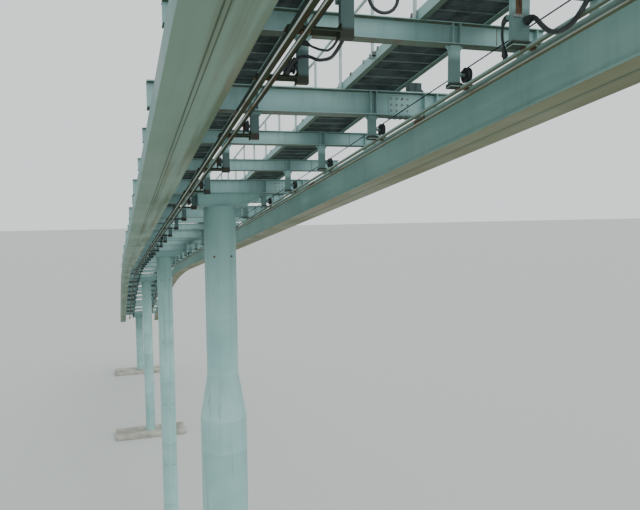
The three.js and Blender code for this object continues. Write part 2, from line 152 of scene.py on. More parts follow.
# Hoses and a cable: black rubber over a fabric or wire core, extruded and slightly glossy. They
# hang in loops from the anchor frame, and each end goes into a gland.
HOSE_BLACK = "#1a1e20"
HOSE_DUST = "#3c4341"
HOSE_DUST_PATCH = 90
HOSE_GRAIN = (8, 0.6)
HOSES = {
    "hose_right": {"radius": 24, "route": [
        (-11300, -1092, 575), (-11330, -1092, 575), (-11368, -1091, 572), (-11407, -1089, 560),
        (-11443, -1085, 540), (-11475, -1080, 513), (-11506, -1075, 484), (-11547, -1069, 445),
        (-11592, -1064, 404), (-11640, -1061, 363), (-11695, -1060, 323), (-11755, -1060, 292),
        (-11818, -1060, 273), (-11880, -1060, 266), (-11940, -1060, 267), (-11998, -1060, 278),
        (-12050, -1060, 299), (-12098, -1060, 328), (-12142, -1060, 361), (-12185, -1060, 396),
        (-12229, -1060, 430), (-12277, -1060, 459), (-12328, -1060, 480), (-12380, -1060, 493),
        (-12418, -1060, 498), (-12450, -1060, 500)]},
    "cable_right": {"radius": 14, "route": [
        (-11172, -960, 640), (-11140, -960, 640), (-11110, -962, 628), (-11080, -968, 600),
        (-11052, -981, 558), (-11026, -1000, 515), (-11000, -1025, 478), (-10972, -1055, 446),
        (-10940, -1084, 414), (-10908, -1109, 384)]},
    "hose_left_high": {"radius": 13, "route": [
        (-11184, 752, 634), (-11184, 752, 600), (-11182, 750, 560), (-11160, 750, 510),
        (-11130, 748, 472), (-11050, 736, 401), (-10950, 730, 388), (-10850, 725, 386),
        (-10700, 724, 405), (-10600, 725, 440), (-10500, 727, 482), (-10400, 728, 525),
        (-10300, 732, 575), (-10230, 736, 609), (-10170, 747, 646), (-10115, 763, 681),
        (-10068, 779, 711)]},
    "hose_left_low": {"radius": 18, "route": [
        (-11184, 700, 634), (-11184, 700, 590), (-11184, 700, 540), (-11180, 701, 480),
        (-11165, 703, 425), (-11130, 706, 380), (-11050, 713, 344), (-10950, 725, 308),
        (-10820, 728, 300), (-10700, 725, 324), (-10600, 733, 350), (-10500, 745, 381),
        (-10405, 747, 418), (-10325, 752, 458), (-10262, 766, 492), (-10215, 788, 515),
        (-10182, 816, 526), (-10160, 848, 525), (-10146, 878, 513), (-10134, 906, 494),
        (-10120, 931, 470), (-10103, 953, 443), (-10083, 968, 416), (-10062, 978, 392)]},
    "hose_middle": {"radius": 16, "route": [
        (-11250, 520, 855), (-11250, 520, 815), (-11250, 520, 775), (-11250, 520, 735),
        (-11250, 520, 696), (-11250, 517, 667), (-11250, 508, 639), (-11250, 493, 614),
        (-11250, 474, 592), (-11250, 450, 575), (-11250, 423, 563), (-11250, 395, 557),
        (-11250, 365, 557), (-11250, 337, 563), (-11250, 310, 575), (-11250, 286, 592),
        (-11250, 267, 614), (-11250, 252, 639), (-11250, 243, 667), (-11250, 240, 696),
        (-11250, 240, 735), (-11250, 240, 775), (-11250, 240, 815), (-11250, 240, 855)]},
}
POINTS_A_STRETCH = 4


def linear(hex_colour):
    """An sRGB hex colour as the linear colour that a shader takes."""
    channels = [int(hex_colour[i:i + 2], 16) / 255 for i in (1, 3, 5)]
    return [c / 12.92 if c <= 0.04045 else ((c + 0.055) / 1.055) ** 2.4 for c in channels] + [1]


def add_node(tree, kind, sockets=None, **settings):
    """Adds a node. A socket is given a value, a hex colour, or another node's output to link from."""
    made = tree.nodes.new(kind)
    for name, value in settings.items():
        setattr(made, name, value)
    for name, value in (sockets or {}).items():
        if isinstance(value, bpy.types.NodeSocket):
            tree.links.new(value, made.inputs[name])
        else:
            made.inputs[name].default_value = linear(value) if isinstance(value, str) else value
    return made


def new_material(name):
    """An empty material, its tree, and the object's own coordinates in metres."""
    material = bpy.data.materials.new(name)
    material.use_nodes = True
    tree = material.node_tree
    tree.nodes.clear()
    return material, tree, add_node(tree, "ShaderNodeTexCoord").outputs["Object"]


def size_to_scale(millimetres):
    """The noise scale that gives features of a full-size length."""
    return 1 / (millimetres * MODEL_METRES)


def patches(tree, place, millimetres, low=0, high=1, most=1, detail=4, stretch=(1, 1, 1)):
    """Where patches of a full-size width lie: 0 outside them, rising to most inside."""
    stretched = add_node(tree, "ShaderNodeMapping", {"Vector": place, "Scale": stretch})
    cloud = add_node(tree, "ShaderNodeTexNoise", {
        "Vector": stretched.outputs["Vector"], "Scale": size_to_scale(millimetres), "Detail": detail})
    edged = add_node(tree, "ShaderNodeMapRange", {
        "Value": cloud.outputs["Fac"], "From Min": low, "From Max": high, "To Max": most})
    return edged.outputs["Result"]


# A mix node's colour sockets go by number, because its sockets for plain values have the same names.
MIXED_FIRST, MIXED_SECOND, MIXED_COLOUR = 6, 7, 2


def coats(tree, colour, *layers):
    """Colours laid over each other. Each layer is the share of it that shows, and its colour."""
    for share, layer in layers:
        mixed = add_node(tree, "ShaderNodeMix", {"Factor": share, MIXED_FIRST: colour, MIXED_SECOND: layer},
                         data_type="RGBA")
        colour = mixed.outputs[MIXED_COLOUR]
    return colour


def finished(material, place, colour, worn, roughness, grain, metallic=0, shine=0.5, **pattern):
    """Shades a material. Its roughness goes from the first value to the second where it is worn, and
    its skin has grains of a full-size width and height. Real sand, orange peel and rust are too fine
    to show from here, so their grains are drawn coarser."""
    tree = material.node_tree
    rough = add_node(tree, "ShaderNodeMapRange", {
        "Value": worn, "To Min": roughness[0], "To Max": roughness[1]})
    bump = add_node(tree, "ShaderNodeBump", {
        "Height": patches(tree, place, grain[0], **pattern), "Strength": 0.5,
        "Distance": grain[1] * MODEL_METRES})
    shader = add_node(tree, "ShaderNodeBsdfPrincipled", {
        "Base Color": colour, "Metallic": metallic, "Specular IOR Level": shine,
        "Roughness": rough.outputs["Result"], "Normal": bump.outputs["Normal"]})
    add_node(tree, "ShaderNodeOutputMaterial", {"Surface": shader.outputs["BSDF"]})
    return material


def black_rubber():
    # Extruded rubber: near black, smooth enough for a soft highlight, with dust dried on in patches.
    material, tree, place = new_material("extruded_black_rubber")
    dust = patches(tree, place, HOSE_DUST_PATCH, 0.45, 0.75)
    return finished(material, place, coats(tree, HOSE_BLACK, (dust, HOSE_DUST)), dust, (0.35, 0.75),
                    HOSE_GRAIN, detail=2)


rubber = black_rubber()


def smooth_route(points):
    """Points close together on the curve that passes evenly through the given ones."""
    padded = [points[0] * 2 - points[1], *points, points[-1] * 2 - points[-2]]
    found = []
    for a, b, c, d in zip(padded, padded[1:], padded[2:], padded[3:]):
        first, second, third = [math.sqrt((q - p).length) for p, q in ((a, b), (b, c), (c, d))]
        leaving = ((b - a) / first - (c - a) / (first + second) + (c - b) / second) * second
        arriving = ((c - b) / second - (d - b) / (second + third) + (d - c) / third) * second
        for step in range(POINTS_A_STRETCH):
            t = step / POINTS_A_STRETCH
            found.append(
                b * (2 * t ** 3 - 3 * t ** 2 + 1) + leaving * (t ** 3 - 2 * t ** 2 + t)
                + c * (3 * t ** 2 - 2 * t ** 3) + arriving * (t ** 3 - t ** 2))
    return [*found, points[-1]]


for hose_name, hose in HOSES.items():
    route = smooth_route([on_line(*point) for point in hose["route"]])
    curve = bpy.data.curves.new(hose_name + "_rubber", "CURVE")
    curve.dimensions = "3D"
    curve.bevel_depth = hose["radius"] * MODEL_METRES
    curve.bevel_resolution = 4
    curve.use_fill_caps = True
    spline = curve.splines.new("POLY")
    spline.points.add(len(route) - 1)
    for spline_point, point in zip(spline.points, route):
        spline_point.co = (*point, 1)
    curve.materials.append(rubber)
    tube = bpy.data.objects.new(hose_name + "_rubber", curve)
    bpy.context.scene.collection.objects.link(tube)
    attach(tube, "root")
    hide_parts(hose_name)


# Footings: cast concrete slabs that lie in the ground in reality, with the arris knocked off and a
# collar of grout round each tube. They are bare, and stained by what runs down the columns.
FOOTING_LENGTH = 2500
FOOTING_WIDTH = 6000
FOOTING_THICKNESS = 300
FOOTING_ARRIS = 40
COLUMN_Y = 140
TUBE_RADIUS = 406.4
WIDE_RADIUS = 600
GROUT = {"width": 90, "height": 60, "sunk": 5, "sides": 48}
CONCRETE_GREY = "#b2afa4"
CONCRETE_DAMP = "#85837a"
CONCRETE_SAND = (6, 3)
CONCRETE_CLOUD = 900


def cast_concrete():
    # Cast concrete: matt, cloudy from the way it dried, with sand and small air holes in its skin.
    material, tree, place = new_material("cast_concrete")
    damp = patches(tree, place, CONCRETE_CLOUD, 0.35, 0.7)
    return finished(material, place, coats(tree, CONCRETE_GREY, (damp, CONCRETE_DAMP)), damp, (0.8, 0.95),
                    CONCRETE_SAND)


def new_form():
    return {"points": [], "faces": []}


def skin(form, rings, to_model=on_line, looped=False):
    """Joins rings of points, equal in number, into a closed solid. Looped, the last meets the first."""
    start = len(form["points"])
    count = len(rings[0])
    for ring in rings:
        form["points"].extend(to_model(*point) for point in ring)
    for i in range(len(rings) if looped else len(rings) - 1):
        here = start + i * count
        there = start + (i + 1) % len(rings) * count
        for j in range(count):
            k = (j + 1) % count
            form["faces"].append((here + j, here + k, there + k, there + j))
    if not looped:
        form["faces"].append(tuple(range(start, start + count)))
        last = start + (len(rings) - 1) * count
        form["faces"].append(tuple(range(last, last + count)))


def around(centre, half):
    return centre - half, centre + half


def oblong(y, h):
    """The corners of a rectangle between two values of y and of h."""
    return [(y[0], h[0]), (y[1], h[0]), (y[1], h[1]), (y[0], h[1])]


def box(form, x, y, h, to_model=on_line):
    """A block between two values of x, y and h."""
    skin(form, [[(each_x, *corner) for corner in oblong(y, h)] for each_x in x], to_model)


def circle(radius, sides):
    """The corners of a many-sided circle, in pairs."""
    turns = [2 * math.pi * i / sides for i in range(sides)]
    return [(radius * math.cos(turn), radius * math.sin(turn)) for turn in turns]


def about(centre, axis, far, u, v):
    """The point that lies far along an axis through centre, with u and v across it."""
    offset = {"x": (far, u, v), "y": (u, far, v), "z": (u, v, far)}[axis]
    return tuple(c + o for c, o in zip(centre, offset))


def turned(form, profile, centre, sides, axis="z", to_model=on_line):
    """A solid turned about an axis through centre. The profile is a closed loop of [radius, along]."""
    rings = []
    for u, v in circle(1, sides):
        rings.append([about(centre, axis, far, radius * u, radius * v) for radius, far in profile])
    skin(form, rings, to_model, looped=True)


def peg(form, centre, radius, reach, axis="z", sides=6, to_model=on_line):
    """A bolt head, nut or pin end: a prism that reaches from centre to both ends of reach."""
    rings = []
    for far in reach:
        rings.append([about(centre, axis, far, u, v) for u, v in circle(radius, sides)])
    skin(form, rings, to_model)


SHARP_EDGE = math.radians(32)


def piece(form, name, material, body="root", replaces=(), arris=0):
    """Makes a piece of a form, with its faces outwards, and rides it on its body."""
    mesh = bpy.data.meshes.new(name)
    mesh.from_pydata(form["points"], [], form["faces"])
    work = bmesh.new()
    work.from_mesh(mesh)
    bmesh.ops.recalc_face_normals(work, faces=work.faces)
    if arris:
        edges = [edge for edge in work.edges if edge.calc_face_angle(0) > SHARP_EDGE]
        bmesh.ops.bevel(work, geom=edges, offset=arris * MODEL_METRES, segments=1, affect="EDGES")
    for face in work.faces:
        face.smooth = True
    for edge in work.edges:
        edge.smooth = edge.calc_face_angle(math.pi) < SHARP_EDGE
    work.to_mesh(mesh)
    work.free()
    mesh.materials.append(material)
    made = bpy.data.objects.new(name, mesh)
    bpy.context.scene.collection.objects.link(made)
    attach(made, body)
    if replaces:
        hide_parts(*replaces)
    return made


concrete = cast_concrete()
for span in SPANS:
    number = span["number"]
    column_x = span["last"] * BAY
    slab = new_form()
    box(slab, around(column_x, FOOTING_LENGTH / 2), around(COLUMN_Y, FOOTING_WIDTH / 2),
        (0, FOOTING_THICKNESS), on_ground)
    piece(slab, f"footing_slab_{number}", concrete, replaces=[f"footing_{number}"],
          arris=FOOTING_ARRIS)
    tube_radius = WIDE_RADIUS if number == 1 else TUBE_RADIUS
    collar = new_form()
    grout_in, grout_out = tube_radius - GROUT["sunk"], tube_radius + GROUT["width"]
    grout_low, grout_high = FOOTING_THICKNESS - GROUT["sunk"], FOOTING_THICKNESS + GROUT["height"]
    turned(collar, [(grout_in, grout_low), (grout_out, grout_low),
                    (grout_out - GROUT["width"] / 2, grout_high), (grout_in, grout_high)],
           (column_x, COLUMN_Y, 0), GROUT["sides"], to_model=on_ground)
    piece(collar, f"grout_collar_{number}", concrete)


# Columns: rolled steel tube in lengths butt-welded end to end, with a haunched box head of welded
# plate. Column 1 has a wider lower tube below a cone. All are sprayed with pale blue-grey enamel.
HEAD_LEFT_END = 715
HEAD_LEFT_DEPTH = 315
HEAD_RIGHT_END = -910
HEAD_RIGHT_DEPTH = 140
HEAD_DEPTH = 370
HEAD_HALF_LENGTH = 300
MAIN_UNDERSIDE = 690
HEAD_TOP = MAIN_UNDERSIDE - SEAT_GAP
HEAD_PLATE = 20
HEAD_TUCK = 5
# How far a plate reaches into what it is welded to, so that no gap shows.
WELD_BITE = 2
HEAD_WEB_INSET = 28
CONE_BOTTOM = 15150
CONE_TOP = 16300
TUBE_SIDES = 96
TUBE_LENGTH = 3500
SEAM = {"width": 26, "rise": 5, "margin": 200}
LUG = {"radius": 26, "reach": 22, "sunk": 6, "first": 900, "sides": 8, "margin": 100}
LUG_TURNS = (150, 214)
COLUMN_BLUE = "#8ab3b1"
COLUMN_CHALK = "#a1c6c3"
COLUMN_GRIME = "#6f8b8a"
# The colour of the painted shade that darkens the tube under its head.
COLUMN_SHADE = "#597a75"
# The heights above the line between which the painted shade under the head sets in.
COLUMN_SHADE_HEIGHTS = (-3600, 200)
CHALKY_SHINE = 0.25
PAINT_CLOUD = 1400
PAINT_STREAK = 120
PAINT_PEEL = (5, 0.5)
RUST_BROWN = "#6e4a2e"
RUST_DARK = "#3d2c20"
RUST_SPECK = 26
RUST_AREA = 700
RUST_BLOOM = "#8a6a4a"
RUST_BLOOM_WIDTH = 350
RUST_PIT = 30
RUST_SCALE = (10, 1.5)


def rust_specks(tree, place, amount):
    """Where small spots of rust have broken through, from 0 for none to about 0.2 for many."""
    spots = patches(tree, place, RUST_SPECK, 0.74 - amount, 0.80 - amount, detail=3)
    areas = patches(tree, place, RUST_AREA, 0.45, 0.6, detail=2)
    return add_node(tree, "ShaderNodeMath", {0: spots, 1: areas}, operation="MULTIPLY").outputs["Value"]


def height_on_line(tree, place):
    """How far each point lies above the line, in full-size millimetres, as arc_height() has it."""
    parts = add_node(tree, "ShaderNodeSeparateXYZ", {"Vector": place}).outputs
    past_start, past_end = (add_node(tree, "ShaderNodeMapRange", {
        "Value": parts["X"], "From Min": low * MODEL_METRES, "From Max": high * MODEL_METRES,
        "To Max": high - low}).outputs["Result"]
        for low, high in ((CREST_START, CREST_END), (CREST_END, FAR_END)))
    squared = add_node(tree, "ShaderNodeMath", {0: past_start, 1: past_start}, operation="MULTIPLY")
    height = -UNDERSIDE_AT_ORIGIN
    for part, steepness in (
            (parts["Z"], 1 / MODEL_METRES), (parts["X"], UPPER_GRADE / MODEL_METRES),
            (squared.outputs["Value"], 1 / (2 * CREST_RADIUS)),
            (past_end, (CREST_END - CREST_START) / CREST_RADIUS)):
        height = add_node(tree, "ShaderNodeMath", {0: part, 1: steepness, 2: height},
                          operation="MULTIPLY_ADD").outputs["Value"]
    return height


def by_height(tree, place, low, high, most=1):
    """Rises from 0 to most between two heights above the line."""
    return add_node(tree, "ShaderNodeMapRange", {
        "Value": height_on_line(tree, place), "From Min": low, "From Max": high,
        "To Max": most}).outputs["Result"]


def enamelled_tube():
    # Air-dried enamel on rolled tube: satin, chalked in clouds, with grime drawn down it by rain, and
    # painted shade that darkens it towards the head, under the deck.
    material, tree, place = new_material("enamelled_rolled_tube")
    cloud = patches(tree, place, PAINT_CLOUD, 0.35, 0.7, detail=3)
    streak = patches(tree, place, PAINT_STREAK, 0.52, 0.75, most=0.45, stretch=(1, 1, 0.04))
    # dust: painted shade that darkens the tube towards its head.
    dust = by_height(tree, place, *COLUMN_SHADE_HEIGHTS, most=0.7)
    colour = coats(tree, COLUMN_BLUE, (cloud, COLUMN_CHALK), (streak, COLUMN_GRIME), (dust, COLUMN_SHADE),
                   (rust_specks(tree, place, 0), RUST_BROWN))
    return finished(material, place, colour, cloud, (0.42, 0.62), PAINT_PEEL, shine=CHALKY_SHINE, detail=1)


def weathered_rust():
    # Bare steel left outdoors: brown rust with darker pits, and paler bloom where it is dry.
    material, tree, place = new_material("weathered_rusty_steel")
    pits = patches(tree, place, RUST_PIT, 0.4, 0.65)
    bloom = patches(tree, place, RUST_BLOOM_WIDTH, 0.5, 0.75)
    colour = coats(tree, RUST_DARK, (pits, RUST_BROWN), (bloom, RUST_BLOOM))
    return finished(material, place, colour, pits, (0.7, 0.92), RUST_SCALE, metallic=0.15)


column_paint = enamelled_tube()
rusty_steel = weathered_rust()


def radius_at(number, z):
    return WIDE_RADIUS if number == 1 and z < CONE_BOTTOM else TUBE_RADIUS


def clear_of_cone(number, z, margin):
    return number > 1 or not CONE_BOTTOM - margin < z < CONE_TOP + margin


def seamed_outline(column_x, number):
    """The tube's outline from foot to head, with a low weld bead at each butt joint."""
    foot = FOOTING_THICKNESS + SEAT_GAP
    seams = [(WIDE_RADIUS, CONE_BOTTOM), (TUBE_RADIUS, CONE_TOP)] if number == 1 else []
    z = foot + TUBE_LENGTH
    while z < underside(column_x) - TUBE_LENGTH / 4:
        if clear_of_cone(number, z, SEAM["margin"]):
            seams.append((radius_at(number, z), z))
        z += TUBE_LENGTH
    outline = [(radius_at(number, foot), foot)]
    for radius, z in sorted(seams, key=lambda seam: seam[1]):
        low, high = around(z, SEAM["width"] / 2)
        outline.extend([(radius, low), (radius + SEAM["rise"], z), (radius, high)])
    return outline


for span in SPANS:
    number = span["number"]
    column_x = span["last"] * BAY
    form = new_form()
    rings = []
    for radius, z in seamed_outline(column_x, number):
        rings.append([(column_x + u, COLUMN_Y + v, z) for u, v in circle(radius, TUBE_SIDES)])
    rings.append([(x, y, underside(x) + HEAD_TOP - HEAD_DEPTH + HEAD_TUCK) for x, y, z in rings[-1]])
    skin(form, rings, on_ground)
    # The head: two webs, a top plate, a bottom plate that follows the haunches, and end plates.
    right_low, left_low = HEAD_TOP - HEAD_RIGHT_DEPTH, HEAD_TOP - HEAD_LEFT_DEPTH
    low_middle = [(y, HEAD_TOP - HEAD_DEPTH) for y in around(COLUMN_Y, TUBE_RADIUS)]
    low_line = [(HEAD_RIGHT_END, right_low), *low_middle, (HEAD_LEFT_END, left_low)]
    web_right, web_left = HEAD_RIGHT_END + HEAD_TUCK, HEAD_LEFT_END - HEAD_TUCK
    web_outline = [(web_right, HEAD_TOP - HEAD_TUCK), (web_right, right_low + WELD_BITE), *low_middle,
                   (web_left, left_low + WELD_BITE), (web_left, HEAD_TOP - HEAD_TUCK)]
    bottom = low_line + [(y, h + HEAD_PLATE) for y, h in reversed(low_line)]
    outer = around(column_x, HEAD_HALF_LENGTH)
    inner = around(column_x, HEAD_HALF_LENGTH - HEAD_WEB_INSET)
    box(form, outer, (HEAD_RIGHT_END, HEAD_LEFT_END), (HEAD_TOP - HEAD_PLATE, HEAD_TOP))
    skin(form, [[(x, y, h) for y, h in web_outline] for x in inner])
    skin(form, [[(x, y, h) for y, h in bottom] for x in outer])
    box(form, outer, (HEAD_RIGHT_END, HEAD_RIGHT_END + HEAD_PLATE), (right_low, HEAD_TOP))
    box(form, outer, (HEAD_LEFT_END - HEAD_PLATE, HEAD_LEFT_END), (left_low, HEAD_TOP))
    piece(form, f"column_tube_{number}", column_paint, replaces=[f"column_{number}"])

    lugs = new_form()
    z = underside(column_x) - LUG["first"]
    while z > TUBE_LENGTH / 2:
        radius = radius_at(number, z)
        turns = LUG_TURNS if clear_of_cone(number, z, LUG["margin"]) else ()
        for turn in map(math.radians, turns):
            rings = []
            for reach in (radius - LUG["sunk"], radius + LUG["reach"]):
                rings.append([
                    (column_x + reach * math.cos(turn) - side * math.sin(turn),
                     COLUMN_Y + reach * math.sin(turn) + side * math.cos(turn), z + up)
                    for side, up in circle(LUG["radius"], LUG["sides"])])
            skin(lugs, rings, on_ground)
        z -= TUBE_LENGTH
    piece(lugs, f"column_lugs_{number}", rusty_steel)


# Girders: hollow boxes of welded plate, on a wide flange made of two plates that are joined along the middle
# over a backing strip. Rain and brake dust have stained the undersides olive and brown, partly as painted
# shade. The left girder is painted darker as painted shade.
GIRDER_CENTRE = 2000
GIRDER_WIDTH = 490
GIRDER_HEIGHT = 640
# The left girder's colours are darker than the right's: painted shade on its outward web.
GIRDER_BLUE = {"left": "#517a74", "right": "#7da09a"}
GIRDER_CHALK = {"left": "#668c86", "right": "#92b2ac"}
# The below colour, on faces that look down, is partly a stain and partly painted shade.
GIRDER_STAIN_AND_SHADE = {
    "left": {"below": "#7b9283", "damp": "#4f6044", "dry": "#646144", "share": 0.85},
    "right": {"below": "#74775a", "damp": "#626445", "dry": "#76603c", "share": 0.7},
}
STAIN_WIDTH = 130
STAIN_AREA = 2600
BESIDE_MIDDLE = 100
# The heights between which painted shade sets in on the posts, and below them on the arms.
HANGING_SHADE_HEIGHTS = (MAIN_UNDERSIDE + 20, MAIN_UNDERSIDE - 60)
ARM_SHADE_HEIGHTS = (402, 372)
# The posts' painted shade, darker on the left than on the right.
HANGING_SHADE = {"left": "#2c4241", "right": "#5d7976"}
# The arms' rust and grime are painted near black, partly as painted shade.
ARM_RUST_AND_SHADE = "#2e2519"
ARM_GRIME_AND_SHADE = "#272c21"


def facing_down(tree):
    """Which faces look down: 1 where they do, and 0 where they don't."""
    normal = add_node(tree, "ShaderNodeNewGeometry").outputs["Normal"]
    upward = add_node(tree, "ShaderNodeSeparateXYZ", {"Vector": normal}).outputs["Z"]
    return add_node(tree, "ShaderNodeMapRange", {
        "Value": upward, "From Min": -0.6, "From Max": -0.85}).outputs["Result"]


def by_side(tree, place, start, end, most=1):
    """Rises from 0 to most between two places across the line."""
    across = add_node(tree, "ShaderNodeSeparateXYZ", {"Vector": place}).outputs["Y"]
    return add_node(tree, "ShaderNodeMapRange", {
        "Value": across, "From Min": start * MODEL_METRES, "From Max": end * MODEL_METRES,
        "To Max": most}).outputs["Result"]


def stained_enamel(name, colour, chalk, stain_and_shade, rust=0, low=False, inward=False):
    # Shop-sprayed enamel on plate: satin, clouded, streaked by rain on its sides. Faces that look down are
    # darker, partly with grime and partly as painted shade, and stained in long streaks along the line,
    # olive or brown, on one girder more so towards its inner edge. What hangs low is darker with painted
    # shade.
    material, tree, place = new_material(name)
    cloud = patches(tree, place, PAINT_CLOUD, 0.35, 0.7, detail=3)
    streak = patches(tree, place, PAINT_STREAK, 0.5, 0.75, most=0.35, stretch=(1, 1, 0.1))
    along = patches(tree, place, STAIN_WIDTH, 0.42, 0.62, detail=3, stretch=(0.02, 1, 0.2))
    dry = patches(tree, place, STAIN_AREA, 0.42, 0.6, detail=2)
    below = facing_down(tree)
    share = stain_and_shade["share"]
    if inward:
        inner_edge, outer_edge = around(GIRDER_CENTRE, GIRDER_WIDTH / 2)
        share = by_side(tree, place, outer_edge, inner_edge, share)
    stained = below
    for part in (along, share):
        stained = add_node(tree, "ShaderNodeMath", {0: stained, 1: part},
                           operation="MULTIPLY").outputs["Value"]
    # Faces that look down take the below colour: partly a stain, partly painted shade.
    layers = [(cloud, chalk), (streak, COLUMN_GRIME), (below, stain_and_shade["below"]),
              (stained, coats(tree, stain_and_shade["damp"], (dry, stain_and_shade["dry"])))]
    if low:
        # What hangs low is painted darker: painted shade, darker on the left.
        left = by_side(tree, place, *around(0, BESIDE_MIDDLE))
        hanging_shade = coats(tree, HANGING_SHADE["right"], (left, HANGING_SHADE["left"]))
        layers.append((by_height(tree, place, *HANGING_SHADE_HEIGHTS, most=0.85), hanging_shade))
        # The arms are darkest: rust and grime in bands, with painted shade.
        layers.append((by_height(tree, place, *ARM_SHADE_HEIGHTS, most=0.95),
                       coats(tree, ARM_RUST_AND_SHADE, (along, ARM_GRIME_AND_SHADE))))
    layers.append((rust_specks(tree, place, rust), RUST_BROWN))
    return finished(material, place, coats(tree, colour, *layers), cloud, (0.42, 0.65), PAINT_PEEL,
                    shine=CHALKY_SHINE, detail=1)


girder_paints = {
    side: stained_enamel(f"enamelled_girder_plate_{side}", GIRDER_BLUE[side], GIRDER_CHALK[side],
                         GIRDER_STAIN_AND_SHADE[side], inward=side == "left")
    for side in SIDES}


def repaint(node, material):
    """Gives a frame piece a material in place of its plain one."""
    for material_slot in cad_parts[node].material_slots:
        material_slot.link = "OBJECT"
        material_slot.material = material


for side in SIDES:
    for span in SPANS:
        repaint(f"girder_{side}_{span['number']}", girder_paints[side])


# Girder fittings: the backing strip under the flange's middle with a grimy weld along each edge, cover
# plates over the expansion gaps, and bolted sole plates under the stools of the cross-beams.
BACKING_STRIP = {"half": 15, "thickness": 4}
SEAM_WELD = {"half": 7, "thickness": 3}
COVER_PLATE = {"half": 70, "inset": 30, "thickness": 8, "back": 2}
SOLE_PLATE = {"half": 110, "inner": 1880, "outer": 2120, "thickness": 12}
LAID_BITE = 1
SOLE_BOLT = {"along": 90, "inner": 1895, "outer": 2105, "radius": 12}
BOLT_HEAD = 14
BOLT_SUNK = 3
# Its below colour, on faces that look down, is partly a stain and partly painted shade.
BEAD_STAIN_AND_SHADE = {"below": "#4b5742", "damp": "#414c39", "dry": "#48503b", "share": 0.7}
BOLT_GREY = "#7d8784"
BOLT_RUST = "#6b4a31"
BOLT_RUST_PATCH = 220
BOLT_GRAIN = (12, 0.6)


def galvanised_bolts():
    # Hot-dip zinc on bolts and clips: dull grey, with brown rust where the zinc has gone.
    material, tree, place = new_material("galvanised_bolts_and_clips")
    worn = patches(tree, place, BOLT_RUST_PATCH, 0.5, 0.68)
    return finished(material, place, coats(tree, BOLT_GREY, (worn, BOLT_RUST)), worn, (0.5, 0.85),
                    BOLT_GRAIN, metallic=0.45, detail=2)


bolt_steel = galvanised_bolts()
grimy_bead = stained_enamel("grimy_weld_bead", GIRDER_BLUE["left"], GIRDER_CHALK["left"], BEAD_STAIN_AND_SHADE)


def spread(low, high, count):
    """Evenly spaced values from low to high, both kept."""
    return [low + (high - low) * i / (count - 1) for i in range(count)]


def knots_between(start, end):
    """The places where a length along the line bends, with its two ends."""
    bends = [CREST_START + i * BAY for i in range(int((CREST_END - CREST_START) / BAY) + 1)]
    return [start, *(x for x in bends if start < x < end), end]


def swept(form, outline, start, end):
    """A section in [y, h] carried along the line."""
    skin(form, [[(x, y, h) for y, h in outline] for x in knots_between(start, end)])


def mirrored(sign, first, second):
    """Two places across the line on one side of it, the lower first."""
    return sorted((sign * first, sign * second))


def bar_along(form, y, h, start, end):
    """A rectangular bar along the line, between two values of y and of h."""
    swept(form, oblong(y, h), start, end)


for side, data in SIDES.items():
    sign = data["sign"]
    plates = new_form()
    welds = new_form()
    bolts = new_form()
    centre = sign * GIRDER_CENTRE
    for span in SPANS:
        start, end = ends_of([span])
        bar_along(plates, around(centre, BACKING_STRIP["half"]), (-BACKING_STRIP["thickness"], LAID_BITE),
                  start, end)
        for way in (-1, 1):
            seam = centre + way * (BACKING_STRIP["half"] + SEAM_WELD["half"])
            bar_along(welds, around(seam, SEAM_WELD["half"]), (-SEAM_WELD["thickness"], LAID_BITE),
                      start, end)
    for span in SPANS[:-1]:
        cover_end = span["end"] - EXPANSION_GAP / 2 - COVER_PLATE["back"]
        box(plates, (cover_end - COVER_PLATE["half"], cover_end),
            around(centre, GIRDER_WIDTH / 2 - COVER_PLATE["inset"]),
            (GIRDER_HEIGHT - WELD_BITE, GIRDER_HEIGHT + COVER_PLATE["thickness"]))
    for beam in beams_of(SPANS):
        sole_top = GIRDER_HEIGHT + SOLE_PLATE["thickness"]
        box(plates, around(beam["x"], SOLE_PLATE["half"]),
            mirrored(sign, SOLE_PLATE["inner"], SOLE_PLATE["outer"]),
            (GIRDER_HEIGHT - LAID_BITE, sole_top))
        for bolt_x in around(beam["x"], SOLE_BOLT["along"]):
            for y in (SOLE_BOLT["inner"], SOLE_BOLT["outer"]):
                peg(bolts, (bolt_x, sign * y, sole_top), SOLE_BOLT["radius"], (-BOLT_SUNK, BOLT_HEAD))
    piece(plates, f"girder_plates_{side}", girder_paints[side])
    piece(welds, f"girder_welds_{side}", grimy_bead)
    piece(bolts, f"girder_bolts_{side}", bolt_steel)


# Cross-beams: rolled H sections that lie across both girders. Web stiffeners stand over the posts and
# the girders. The main beams have a bolted splice just inboard of each girder, the others a butt weld.
BEAMS = {
    "main": {"bottom": MAIN_UNDERSIDE, "width": 200, "flange": 16, "web": 12, "stiffeners": (1883, 2090)},
    "minor": {"bottom": 810, "width": 150, "flange": 10, "web": 8, "stiffeners": (1898, 2102)},
    "anchor": {"bottom": 860, "width": 100, "flange": 10, "web": 8, "stiffeners": (1898, 2102)},
}
BEAM_TOP = 1050
STIFFENER = 10
STIFFENER_INSET = 4
POST_STIFFENER_INSET = 12
SPLICE = {"inner": 1305, "outer": 1670, "low": 735, "high": 1005, "web": 9, "flange": 10, "inset": 8}
SPLICE_BOLT_Y = (1353, 1443, 1533, 1622)
SPLICE_BOLT_H = (780, 867, 957)
SPLICE_BOLT = {"radius": 17, "along": 62, "sunk": 4}
BUTT_WELD = {"y": 1590, "half": 4, "rise": 2}
DECK_BLUE = "#86a8a7"
DECK_CHALK = "#a0bfbd"
# Its below colour, on faces that look down, is partly a stain and partly painted shade.
DECK_STAIN_AND_SHADE = {"below": "#56675a", "damp": "#4a5340", "dry": "#5a4a36", "share": 0.6}

deck_paint = stained_enamel("enamelled_rolled_beam", DECK_BLUE, DECK_CHALK, DECK_STAIN_AND_SHADE, 0.02, low=True)

